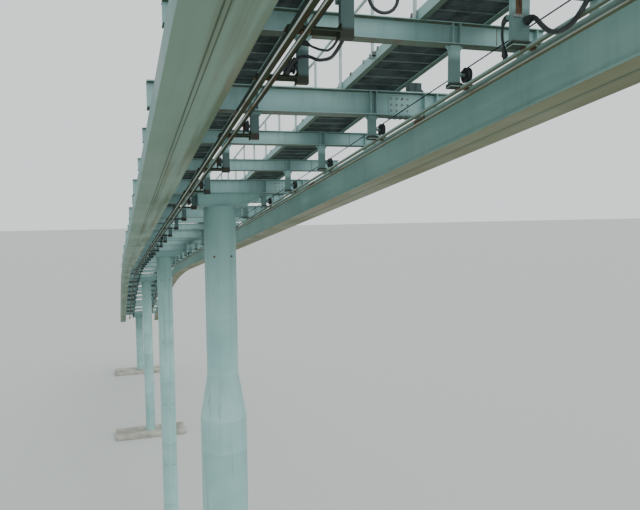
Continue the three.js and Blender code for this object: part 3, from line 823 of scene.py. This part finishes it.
for span in SPANS:
    number = span["number"]
    repaint(f"deck_frame_{number}", deck_paint)
    plates = new_form()
    bolts = new_form()
    welds = new_form()
    for beam in beams_of([span]):
        x = beam["x"]
        section = BEAMS[beam["kind"]]
        bottom, web_face = section["bottom"], section["web"] / 2
        low, high = bottom + section["flange"], BEAM_TOP - section["flange"]
        flange_edge = section["width"] / 2 - STIFFENER_INSET
        for side in SIDES.values():
            sign = side["sign"]
            inner, outer = post_edges(beam, side)
            over_post = (inner + POST_STIFFENER_INSET, outer - POST_STIFFENER_INSET - STIFFENER)
            for y in (*over_post, *section["stiffeners"]):
                for face in (-1, 1):
                    box(plates, sorted((x + face * (web_face - WELD_BITE), x + face * flange_edge)),
                        mirrored(sign, y, y + STIFFENER), (low - WELD_BITE, high + WELD_BITE))
            if beam["kind"] != "main":
                seam = around(sign * BUTT_WELD["y"], BUTT_WELD["half"])
                box(welds, around(x, web_face + BUTT_WELD["rise"]), seam, (low, high))
                box(welds, around(x, section["width"] / 2 + BUTT_WELD["rise"]), seam,
                    (bottom - BUTT_WELD["rise"], low + BUTT_WELD["rise"]))
                continue
            splice_y = mirrored(sign, SPLICE["inner"], SPLICE["outer"])
            splice_face = web_face + SPLICE["web"]
            splice_foot = bottom - SPLICE["flange"]
            for face in (-1, 1):
                box(plates, sorted((x + face * (web_face - WELD_BITE), x + face * splice_face)), splice_y,
                    (SPLICE["low"], SPLICE["high"]))
            box(plates, around(x, flange_edge - SPLICE["inset"]), splice_y,
                (splice_foot, bottom + WELD_BITE))
            for y in SPLICE_BOLT_Y:
                for bolt_x in around(x, SPLICE_BOLT["along"]):
                    peg(bolts, (bolt_x, sign * y, splice_foot), SPLICE_BOLT["radius"],
                        (SPLICE_BOLT["sunk"], -BOLT_HEAD))
                for h in SPLICE_BOLT_H:
                    for face in (-1, 1):
                        peg(bolts, (x + face * splice_face, sign * y, h), SPLICE_BOLT["radius"],
                            (-SPLICE_BOLT["sunk"] * face, BOLT_HEAD * face), "x")
    piece(plates, f"beam_plates_{number}", deck_paint)
    piece(welds, f"beam_welds_{number}", rusty_steel)
    piece(bolts, f"beam_bolts_{number}", bolt_steel)


# Hanger posts: oblong tube welded under the cross-beams, with a small gusset on each side at the top.
# The right-hand ones have a bolted foot plate, and the wide one has a rusty strap in a clamp.
POST_DEPTH = 65
ARM_TOP = 370
FOOT_PLATE = {"margin": 14, "half": 56, "thickness": 12}
FOOT_BOLT = {"along": 42, "radius": 10, "head": 12}
GUSSET = {"reach": 48, "drop": 60, "thickness": 10, "toe": 12, "sunk": 4}
STRAP = {"inner": 977, "outer": 1042, "low": 634, "high": 855, "proud": 8}
STRAP_CLAMP = {"inner": 941, "outer": 1046, "low": 606, "high": 634, "proud": 16}

for span in SPANS:
    number = span["number"]
    plates = new_form()
    bolts = new_form()
    for beam in beams_of([span]):
        x = beam["x"]
        under = BEAMS[beam["kind"]]["bottom"]
        for name, side in SIDES.items():
            sign = side["sign"]
            inner, outer = post_edges(beam, side)
            for edge, way in ((inner, -1), (outer, 1)):
                heel, tip = edge - way * GUSSET["sunk"], edge + way * GUSSET["reach"]
                outline = [(heel, under + WELD_BITE), (tip, under + WELD_BITE), (tip, under - GUSSET["toe"]),
                           (edge + way * GUSSET["toe"], under - GUSSET["drop"]),
                           (heel, under - GUSSET["drop"])]
                skin(plates, [[(face_x, sign * y, h) for y, h in outline]
                              for face_x in around(x, GUSSET["thickness"] / 2)])
            if name == "left":
                continue
            low, margin = ARM_TOP + SEAT_GAP, FOOT_PLATE["margin"]
            high = low + FOOT_PLATE["thickness"]
            box(plates, around(x, FOOT_PLATE["half"]), mirrored(sign, inner - margin, outer + margin),
                (low, high))
            for bolt_x in around(x, FOOT_BOLT["along"]):
                for y in (inner + margin, outer - margin):
                    peg(bolts, (bolt_x, sign * y, high), FOOT_BOLT["radius"],
                        (-BOLT_SUNK, FOOT_BOLT["head"]))
    piece(plates, f"post_plates_{number}", deck_paint)
    piece(bolts, f"post_bolts_{number}", bolt_steel)

post_face = ANCHOR_X - POST_DEPTH / 2
for label, strip, material in (("strap", STRAP, rusty_steel), ("strap_clamp", STRAP_CLAMP, bolt_steel)):
    form = new_form()
    box(form, (post_face - strip["proud"], post_face + WELD_BITE), (-strip["outer"], -strip["inner"]),
        (strip["low"], strip["high"]))
    piece(form, f"anchor_{label}", material, arris=1.5)


# Walkways: pressed steel channels edge a galvanised grating of bearing bars that lie across it, tied
# by rods along it. Seen from below it is dark, with light between the bars and paler bearer bars; the
# grating's zinc is painted darker than the bearers' as painted shade.
STRINGER_WIDTH = 900
STRINGER_FLANGE = 80
STRINGER_WEB = 12
STRINGER_TOP = 1170
GRATING_LOW = BEAM_TOP + STRINGER_WEB + SEAT_GAP
GRATING_DEPTH = 32
GRATING_HIGH = GRATING_LOW + GRATING_DEPTH
BAR_PITCH = 50
BAR_THICKNESS = 12
BEARER = {"pitch": BAY / 8, "half": 18, "drop": 2, "height": 14}
ROD = {"count": 8, "half": 6, "inset": 40, "low": 16, "high": 4}
# The grating's zinc is painted darker than the bearers' same zinc: painted shade between its bars.
GRATING_ZINC = {"zinc": "#485653", "grime": "#2c3735"}
BEARER_ZINC = {"zinc": "#6c7a77", "grime": "#4a5855"}
SPANGLE = 28
ZINC_GRIME_PATCH = 260
ZINC_GRAIN = (14, 0.5)


def dipped_zinc(name, zinc, grime):
    # Hot-dip galvanised bar that has weathered: dull grey with a faint spangle and dark grime.
    material, tree, place = new_material(name)
    spangle = add_node(tree, "ShaderNodeTexVoronoi", {"Vector": place, "Scale": size_to_scale(SPANGLE)})
    shade = add_node(tree, "ShaderNodeMath", {0: spangle.outputs["Distance"], 1: 0.6}, operation="MULTIPLY")
    grimy = patches(tree, place, ZINC_GRIME_PATCH, 0.4, 0.65)
    colour = coats(tree, zinc, (shade.outputs["Value"], grime), (grimy, grime))
    return finished(material, place, colour, grimy, (0.6, 0.85), ZINC_GRAIN, metallic=0.25, detail=2)


shaded_dark_zinc = dipped_zinc("hot_dipped_zinc_grating", **GRATING_ZINC)
pale_zinc = dipped_zinc("hot_dipped_zinc_bearers", **BEARER_ZINC)
for name, side in SIDES.items():
    sign = side["sign"]
    for half in HALVES:
        start, end = ends_of(half["spans"])
        label = f"{name}_{half['number']}"
        outer = side["walkway"] + STRINGER_WIDTH
        web, lip = outer - STRINGER_WEB, outer - STRINGER_FLANGE
        inner = side["walkway"] + STRINGER_WEB + SEAT_GAP
        across = mirrored(sign, inner, web)
        grating = new_form()
        for i in range(int((end - start) / BAR_PITCH)):
            box(grating, around(start + BAR_PITCH * (i + 0.5), BAR_THICKNESS / 2), across,
                (GRATING_LOW, GRATING_HIGH))
        for y in spread(inner + ROD["inset"], web - ROD["inset"], ROD["count"]):
            bar_along(grating, around(sign * y, ROD["half"]),
                      (GRATING_HIGH - ROD["low"], GRATING_HIGH - ROD["high"]), start, end)
        piece(grating, f"grating_{label}", shaded_dark_zinc, replaces=[f"walkway_{label}"])

        bearers = new_form()
        x = math.ceil(start / BEARER["pitch"]) * BEARER["pitch"]
        while x < end - BEARER["half"]:
            box(bearers, around(x, BEARER["half"]), across,
                (GRATING_LOW - BEARER["drop"], GRATING_LOW + BEARER["height"]))
            x += BEARER["pitch"]
        piece(bearers, f"bearers_{label}", pale_zinc)

        channel = new_form()
        foot = BEAM_TOP + SEAT_GAP
        swept(channel, [(sign * y, h) for y, h in (
            (lip, foot), (outer, foot), (outer, STRINGER_TOP), (lip, STRINGER_TOP),
            (lip, STRINGER_TOP - STRINGER_WEB), (web, STRINGER_TOP - STRINGER_WEB),
            (web, foot + STRINGER_WEB), (lip, foot + STRINGER_WEB))], start, end)
        piece(channel, f"outer_channel_{label}", deck_paint, replaces=[f"walkway_{label}"])


# Handrails: a bar of round tube on round posts, one side of each walkway. Each post stands in a
# U-shaped clamp on the inner channel or on a beam. Cable clips sit along the channel's top edge.
HANDRAIL = {"post": 46, "top": 1945, "bar": 42, "pitch": 1250, "foot": 1090}
POST_CLAMP = {"half": 56, "wall": 12, "low": 2, "base": 14, "top": 60, "grip": 26, "sunk": 3}
POST_BASE = {"half": 44, "thickness": 12}
CLIP = {"pitch": BAY / 5, "half": 12, "out": 14, "in": 26, "low": 24, "high": 20}
HANDRAIL_PALE = "#b4c3c0"
HANDRAIL_RUBBED = "#93a3a0"
HANDRAIL_RUB_PATCH = 160
BRUSH_MARK = (9, 0.5)


def painted_handrail():
    # Enamel brushed on by hand: pale, glossier than the beams, thin and rubbed dull in patches.
    material, tree, place = new_material("brushed_enamel_handrail")
    rubbed = patches(tree, place, HANDRAIL_RUB_PATCH, 0.45, 0.7)
    colour = coats(tree, HANDRAIL_PALE, (rubbed, HANDRAIL_RUBBED),
                   (rust_specks(tree, place, 0.04), RUST_BROWN))
    return finished(material, place, colour, rubbed, (0.3, 0.6), BRUSH_MARK, stretch=(0.2, 1, 1))


def tube_along(form, y, h, radius, start, end, sides=12):
    swept(form, [(y + u, h + v) for u, v in circle(radius, sides)], start, end)


handrail_paint = painted_handrail()
for name, side in SIDES.items():
    sign = side["sign"]
    for half in HALVES:
        start, end = ends_of(half["spans"])
        label = f"{name}_{half['number']}"
        post_radius, bar_radius = HANDRAIL["post"] / 2, HANDRAIL["bar"] / 2
        middle = sign * (side["walkway"] - SEAT_GAP - post_radius)
        rails = new_form()
        clamps = new_form()
        tube_along(rails, middle, HANDRAIL["top"] - bar_radius, bar_radius, start, end)
        grip = sorted((middle - sign * POST_CLAMP["grip"], sign * (side["walkway"] + POST_CLAMP["sunk"])))
        clamp_foot = HANDRAIL["foot"] + POST_CLAMP["low"]
        x = math.ceil(start / HANDRAIL["pitch"]) * HANDRAIL["pitch"]
        while x <= end - post_radius:
            at_beam = x % BAY == 0
            foot = BEAM_TOP + SEAT_GAP if at_beam else HANDRAIL["foot"]
            peg(rails, (x, middle, foot), post_radius, (0, HANDRAIL["top"] - bar_radius - foot), sides=12)
            if at_beam:
                box(clamps, around(x, POST_BASE["half"]), around(middle, post_radius),
                    (foot, foot + POST_BASE["thickness"]))
            else:
                box(clamps, around(x, POST_CLAMP["half"]), grip,
                    (clamp_foot, clamp_foot + POST_CLAMP["base"]))
                for edge in (x - POST_CLAMP["half"], x + POST_CLAMP["half"] - POST_CLAMP["wall"]):
                    box(clamps, (edge, edge + POST_CLAMP["wall"]), grip,
                        (clamp_foot, clamp_foot + POST_CLAMP["top"]))
            x += HANDRAIL["pitch"]
        x = math.ceil(start / CLIP["pitch"]) * CLIP["pitch"] + CLIP["pitch"] / 4
        while x < end - CLIP["half"]:
            clip_y = mirrored(sign, side["walkway"] - CLIP["out"], side["walkway"] + CLIP["in"])
            box(clamps, around(x, CLIP["half"]), clip_y,
                (STRINGER_TOP - CLIP["low"], STRINGER_TOP + CLIP["high"]))
            x += CLIP["pitch"]
        piece(rails, f"handrail_tube_{label}", handrail_paint,
              replaces=[f"handrail_{label}"])
        piece(clamps, f"handrail_clamps_{label}", bolt_steel)


# Rails: a flat bar and a deeper, wider one side by side, hung under flat arms. The deep one's joints
# have fishplates, and bolted clips hold both to each arm. Pale strips along some of their lower edges are
# painted highlights on steel rubbed by the guide wheels.
RAILS = {
    "inner": {"centre": 1117.5, "width": 45, "low": 315},
    "outer": {"centre": 1250, "width": 70, "low": 275},
}
ARM_LOW = 340
# The heights between which one shade gives way to the next, on a rail's side and then on the arms.
RAIL_SIDE = (280, 345)
ARM_FROM_BESIDE = (346, 350)
ARM_FROM_BELOW = (325, 335)
FISHPLATE = {"half": 160, "low": 288, "high": 328, "thickness": 8, "every": 2 * BAY}
FISH_BOLT = {"count": 4, "outermost": 115, "height": 308, "radius": 11, "head": 10}
RAIL_CLIP = {"half": 30, "reach": 24, "thickness": 14}
CLIP_BOLT = {"out": 13, "radius": 9, "head": 10}
# Strips along some lower rail edges: painted highlights on rubbed steel.
RUBBED_HIGHLIGHT_STRIPS = {
    "left": [{"rail": "outer", "from": 1273, "to": 1285.8}, {"rail": "inner", "from": 1130, "to": 1140.8}],
    "right": [{"rail": "outer", "from": 1214.2, "to": 1228}],
}
GRIMY_SHINE = 0.1
RAIL_BAND = 90
RAIL_GRAIN = (12, 0.8)
HIGHLIGHT_STRIP_HEIGHT = 12
RUBBED_PATCH = 140
RUBBED_GRAIN = (6, 0.3)
# The strips' pale colour is a painted highlight.
RUBBED_HIGHLIGHT = "#b9bfba"
RUBBED_BROWN = "#7b6a52"
HIGHLIGHT_STRIP_PROUD = 0.8
# The left rails' shades are darker than the right's: painted shade, as they hang in shade.
RAIL_SHADES = {
    "left": {"top": "#3f4941", "foot": "#353d33", "damp": "#3a4231", "dry": "#3f3828", "arm": ARM_GRIME_AND_SHADE},
    "right": {"top": "#93aba4", "foot": "#4a6058", "damp": "#566350", "dry": "#5f5b44", "arm": "#37423b"},
}


def worn_rail(side):
    # Painted steel rail: its sides are teal and grimier towards the foot. Its underside is bare, with
    # olive grime and brown rust in long bands. The arms above it are dark with painted shade, and every
    # left-hand shade is darker, as painted shade.
    shades = RAIL_SHADES[side]
    material, tree, place = new_material(f"worn_painted_rail_{side}")
    band = patches(tree, place, RAIL_BAND, 0.4, 0.62, detail=3, stretch=(0.03, 1, 1))
    bare = coats(tree, shades["dry"], (band, shades["damp"]),
                 (by_height(tree, place, *ARM_FROM_BELOW), shades["arm"]))
    colour = coats(tree, shades["foot"], (by_height(tree, place, *RAIL_SIDE), shades["top"]),
                   (by_height(tree, place, *ARM_FROM_BESIDE), shades["arm"]), (facing_down(tree), bare))
    return finished(material, place, colour, band, (0.9, 0.8), RAIL_GRAIN, shine=GRIMY_SHINE)


def rubbed_steel_highlight():
    # Rail steel polished by guide wheels, painted pale as a painted highlight: grey and bright, with brown
    # where it is rubbed less.
    material, tree, place = new_material("rubbed_rail_edge_highlight")
    brown = patches(tree, place, RUBBED_PATCH, 0.55, 0.7, detail=3, stretch=(0.1, 1, 1))
    return finished(material, place, coats(tree, RUBBED_HIGHLIGHT, (brown, RUBBED_BROWN)), brown, (0.3, 0.6),
                    RUBBED_GRAIN, metallic=0.5)


highlight_edge = rubbed_steel_highlight()
for name, side in SIDES.items():
    sign = side["sign"]
    rail_steel = worn_rail(name)
    for half in HALVES:
        label = f"{name}_{half['number']}"
        repaint(f"rail_pair_{label}", rail_steel)
        start, end = ends_of(half["spans"])
        plates = new_form()
        bolts = new_form()
        edges = new_form()
        x = math.ceil(start / FISHPLATE["every"]) * FISHPLATE["every"] + BAY / 2
        while x < end - FISHPLATE["half"]:
            for face in (-1, 1):
                side_face = sign * RAILS["outer"]["centre"] + face * RAILS["outer"]["width"] / 2
                proud = side_face + face * FISHPLATE["thickness"]
                box(plates, around(x, FISHPLATE["half"]), sorted((side_face - face * WELD_BITE, proud)),
                    (FISHPLATE["low"], FISHPLATE["high"]))
                for bolt_x in spread(*around(x, FISH_BOLT["outermost"]), FISH_BOLT["count"]):
                    peg(bolts, (bolt_x, proud, FISH_BOLT["height"]), FISH_BOLT["radius"],
                        (-BOLT_SUNK * face, FISH_BOLT["head"] * face), "y")
            x += FISHPLATE["every"]
        for beam in beams_of(half["spans"]):
            for rail in RAILS.values():
                for way in (-1, 1):
                    edge = sign * rail["centre"] + way * rail["width"] / 2
                    clip_y = sorted((edge - way * WELD_BITE, edge + way * RAIL_CLIP["reach"]))
                    clip_low = ARM_LOW - RAIL_CLIP["thickness"]
                    box(plates, around(beam["x"], RAIL_CLIP["half"]), clip_y,
                        (clip_low, ARM_LOW + LAID_BITE))
                    peg(bolts, (beam["x"], edge + way * CLIP_BOLT["out"], clip_low), CLIP_BOLT["radius"],
                        (BOLT_SUNK, -CLIP_BOLT["head"]))
        # Pale strips along lower edges: painted highlights.
        for strip in RUBBED_HIGHLIGHT_STRIPS[name]:
            low = RAILS[strip["rail"]]["low"]
            bar_along(edges, mirrored(sign, strip["from"], strip["to"]),
                      (low - HIGHLIGHT_STRIP_PROUD, low + HIGHLIGHT_STRIP_HEIGHT), start, end)
        piece(plates, f"rail_plates_{label}", rusty_steel)
        piece(bolts, f"rail_bolts_{label}", bolt_steel)
        piece(edges, f"rail_highlight_strips_{label}", highlight_edge)


# Haulage ropes: six strands of steel wire laid round a core, greased and dark. They run taut along
# the line on the sheaves, and end in blocks on the first and last posts.
ROPE = {"height": 570, "radius": 9, "lay": 130, "strands": 6, "hollow": 0.8, "rings_a_lay": 6}
ROPE_BLOCK_LENGTH = 140
ROPE_DARK = "#35393a"
ROPE_GREASE = "#1c1f1f"
ROPE_GREASE_PATCH = 120
ROPE_GRAIN = (4, 0.4)


def greased_wire():
    # Drawn steel wire under grease: dark, with a dull metallic shine where it has been rubbed.
    material, tree, place = new_material("greased_wire_rope")
    grease = patches(tree, place, ROPE_GREASE_PATCH, 0.4, 0.65)
    return finished(material, place, coats(tree, ROPE_DARK, (grease, ROPE_GREASE)), grease, (0.5, 0.3),
                    ROPE_GRAIN, metallic=0.6, detail=2)


wire = greased_wire()
rope_start = SPANS[0]["first"] * BAY + ROPE_BLOCK_LENGTH / 2 + SEAT_GAP
rope_end = SPANS[-1]["last"] * BAY - ROPE_BLOCK_LENGTH / 2 - SEAT_GAP
for name, side in SIDES.items():
    rope = new_form()
    rings = []
    count = int((rope_end - rope_start) / ROPE["lay"] * ROPE["rings_a_lay"])
    for x in spread(rope_start, rope_end, count):
        twist = 2 * math.pi * (x - rope_start) / ROPE["lay"]
        ring = []
        for j in range(2 * ROPE["strands"]):
            turn = twist + math.pi * j / ROPE["strands"]
            reach = ROPE["radius"] * (1 if j % 2 == 0 else ROPE["hollow"])
            ring.append((x, side["sign"] * side["rope"] + reach * math.cos(turn),
                         ROPE["height"] + reach * math.sin(turn)))
        rings.append(ring)
    skin(rope, rings)
    piece(rope, f"stranded_rope_{name}", wire, replaces=[f"rope_{name}"])


# Sheaves: grooved cast wheels with a dished web and a bushed hub, each on a pin fixed in its post. A
# keeper plate on the rail arm steadies the pin's outer end.
SHEAVE = {"rim": 90, "rim_foot": 70, "dish_edge": 64, "hub_foot": 42, "hub": 38, "bore": 22}
SHEAVE_HALF = 28
GROOVE = {"radius": 72, "half": 8, "lip": 2, "bevel": 4}
DISH = {"at_hub": 10, "at_rim": 12}
SHEAVE_BAYS = [-4, -3, -2, -1, 0, 4, 8, 12, 17, 21]
SHEAVE_SIDES = 48
KEEPER = {"half": 32, "foot": 48, "sunk": 3, "shoulder": 12, "head": 30, "head_half": 18,
          "thickness": 10, "gap": 5}
KEEPER_NUT = {"radius": 15, "height": 12}
CAST_DARK = "#34393a"
CAST_WORN = "#7b807c"
CAST_RUB_PATCH = 45
CAST_GRAIN = (5, 1)


def worn_cast_iron():
    # Cast iron: dark and sandy, and polished by the rope where it is rubbed.
    material, tree, place = new_material("sand_cast_iron")
    rubbed = patches(tree, place, CAST_RUB_PATCH, 0.55, 0.7, most=0.5)
    return finished(material, place, coats(tree, CAST_DARK, (rubbed, CAST_WORN)), rubbed, (0.65, 0.35),
                    CAST_GRAIN, metallic=0.5)


cast_iron = worn_cast_iron()
rim = SHEAVE["rim"]
one_side = [
    (SHEAVE["bore"], -SHEAVE_HALF), (SHEAVE["hub"], -SHEAVE_HALF),
    (SHEAVE["hub_foot"], DISH["at_hub"] - SHEAVE_HALF), (SHEAVE["dish_edge"], DISH["at_rim"] - SHEAVE_HALF),
    (SHEAVE["rim_foot"], -SHEAVE_HALF), (rim - GROOVE["lip"], -SHEAVE_HALF),
    (rim, GROOVE["bevel"] - SHEAVE_HALF), (GROOVE["radius"], -GROOVE["half"])]
wheel_profile = one_side + [(radius, -far) for radius, far in reversed(one_side)]
for name, side in SIDES.items():
    sign = side["sign"]
    keepers = new_form()
    for i, bay in enumerate(SHEAVE_BAYS):
        node = f"sheave_{name}_{i + 1}"
        low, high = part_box(node)
        centre = tuple((a + b) / 2 / MODEL_METRES for a, b in zip(low, high))
        wheel = new_form()
        turned(wheel, wheel_profile, centre, SHEAVE_SIDES, "y", on_ground)
        piece(wheel, f"sheave_wheel_{name}_{i + 1}", cast_iron, body=node, replaces=[node])
        x = bay * BAY
        pin_h = centre[2] - underside(x)
        face = sign * (side["rope"] + SHEAVE_HALF + KEEPER["gap"])
        back = face + sign * KEEPER["thickness"]
        right_edge = [
            (KEEPER["foot"], ARM_TOP - KEEPER["sunk"]), (KEEPER["half"], pin_h + KEEPER["shoulder"]),
            (KEEPER["head_half"], pin_h + KEEPER["head"])]
        outline = [(x + u, h) for u, h in right_edge] + [(x - u, h) for u, h in reversed(right_edge)]
        skin(keepers, [[(px, y, h) for px, h in outline] for y in (face, back)])
        peg(keepers, (x, back, pin_h), KEEPER_NUT["radius"],
            (-BOLT_SUNK * sign, KEEPER_NUT["height"] * sign), "y")
    piece(keepers, f"pin_keepers_{name}", rusty_steel)


# Glands: moulded rubber boots where the hoses leave the steel. A small dark box of enamelled steel
# stands on the first main beam, with a triangular plate at its outer side.
GLAND_BOOT = {"length": 110, "flare": 16, "wall": 5, "sides": 20}
JUNCTION_BOX = {"x": -3 * BAY, "half": 90, "inner": 1640, "outer": 1825, "height": 140}
BOX_PLATE = {"half": 5, "inner": 1822, "outer": 1940, "height": 128}
BOX_DARK = "#1d2727"
BOX_CHALK = "#2a3535"


def boot(form, points, radius):
    """A tapered sleeve over the first stretch of a route, thick where it leaves the gland."""
    boot_length = GLAND_BOOT["length"] * MODEL_METRES
    rings = []
    travelled = 0
    for here, there in zip(points, points[1:]):
        if travelled > boot_length:
            break
        way = (there - here).normalized()
        side_way = side_way if rings else way.orthogonal().normalized()
        side_way = (side_way - way * side_way.dot(way)).normalized()
        up = way.cross(side_way)
        flare = GLAND_BOOT["flare"] * (1 - travelled / boot_length)
        reach = (radius + GLAND_BOOT["wall"] + flare) * MODEL_METRES
        rings.append([here + (u * side_way + v * up) * reach for u, v in circle(1, GLAND_BOOT["sides"])])
        travelled += (there - here).length
    skin(form, rings, to_model=lambda *point: Vector(point))


boots = new_form()
for hose in HOSES.values():
    route = smooth_route([on_line(*point) for point in hose["route"]])
    boot(boots, route, hose["radius"])
    boot(boots, route[::-1], hose["radius"])
piece(boots, "gland_boots", rubber)

box_paint = stained_enamel("enamelled_steel_box", BOX_DARK, BOX_CHALK, DECK_STAIN_AND_SHADE, 0.02)
junction_box = new_form()
box(junction_box, around(JUNCTION_BOX["x"], JUNCTION_BOX["half"]),
    (-JUNCTION_BOX["outer"], -JUNCTION_BOX["inner"]), (BEAM_TOP, BEAM_TOP + JUNCTION_BOX["height"]))
triangle = [(-BOX_PLATE["inner"], BEAM_TOP), (-BOX_PLATE["outer"], BEAM_TOP),
            (-BOX_PLATE["inner"], BEAM_TOP + BOX_PLATE["height"])]
skin(junction_box, [[(x, y, h) for y, h in triangle] for x in around(JUNCTION_BOX["x"], BOX_PLATE["half"])])
piece(junction_box, "junction_box", box_paint, arris=2)


# The stage: a plain matt floor at the height that the footings stand on. The light is that of a soft,
# even sky, with one broad lamp overhead and one that shines along the line from behind the eye.
FLOOR_GREY = "#bbbeb9"
FLOOR_ROUGH = 0.95
FLOOR_HALF = 260
BACKDROP_GREY = "#e6edee"
SKY_STRENGTH = 1.35
LAMPS = {
    "overhead": {"strength": 0.8, "spread": 60, "tilt": (28, -32, 0)},
    "behind": {"strength": 0.9, "spread": 50, "tilt": (0, -88, 0)},
}

floor_paint, floor_tree, _ = new_material("matt_studio_floor")
floor_shader = add_node(floor_tree, "ShaderNodeBsdfPrincipled", {
    "Base Color": FLOOR_GREY, "Roughness": FLOOR_ROUGH})
add_node(floor_tree, "ShaderNodeOutputMaterial", {"Surface": floor_shader.outputs["BSDF"]})
floor_mesh = bpy.data.meshes.new("floor")
floor_mesh.from_pydata([
    (-FLOOR_HALF, -FLOOR_HALF, 0), (FLOOR_HALF, -FLOOR_HALF, 0), (FLOOR_HALF, FLOOR_HALF, 0),
    (-FLOOR_HALF, FLOOR_HALF, 0)], [], [(0, 1, 2, 3)])
floor_mesh.materials.append(floor_paint)
floor = bpy.data.objects.new("floor", floor_mesh)
bpy.context.scene.collection.objects.link(floor)

world = bpy.data.worlds.new("soft_light")
world.use_nodes = True
background = world.node_tree.nodes["Background"]
background.inputs["Color"].default_value = linear(BACKDROP_GREY)
background.inputs["Strength"].default_value = SKY_STRENGTH
bpy.context.scene.world = world
for name, values in LAMPS.items():
    lamp_data = bpy.data.lights.new(name, "SUN")
    lamp_data.energy = values["strength"]
    lamp_data.angle = math.radians(values["spread"])
    lamp = bpy.data.objects.new(name, lamp_data)
    lamp.rotation_euler = [math.radians(degrees) for degrees in values["tilt"]]
    bpy.context.scene.collection.objects.link(lamp)
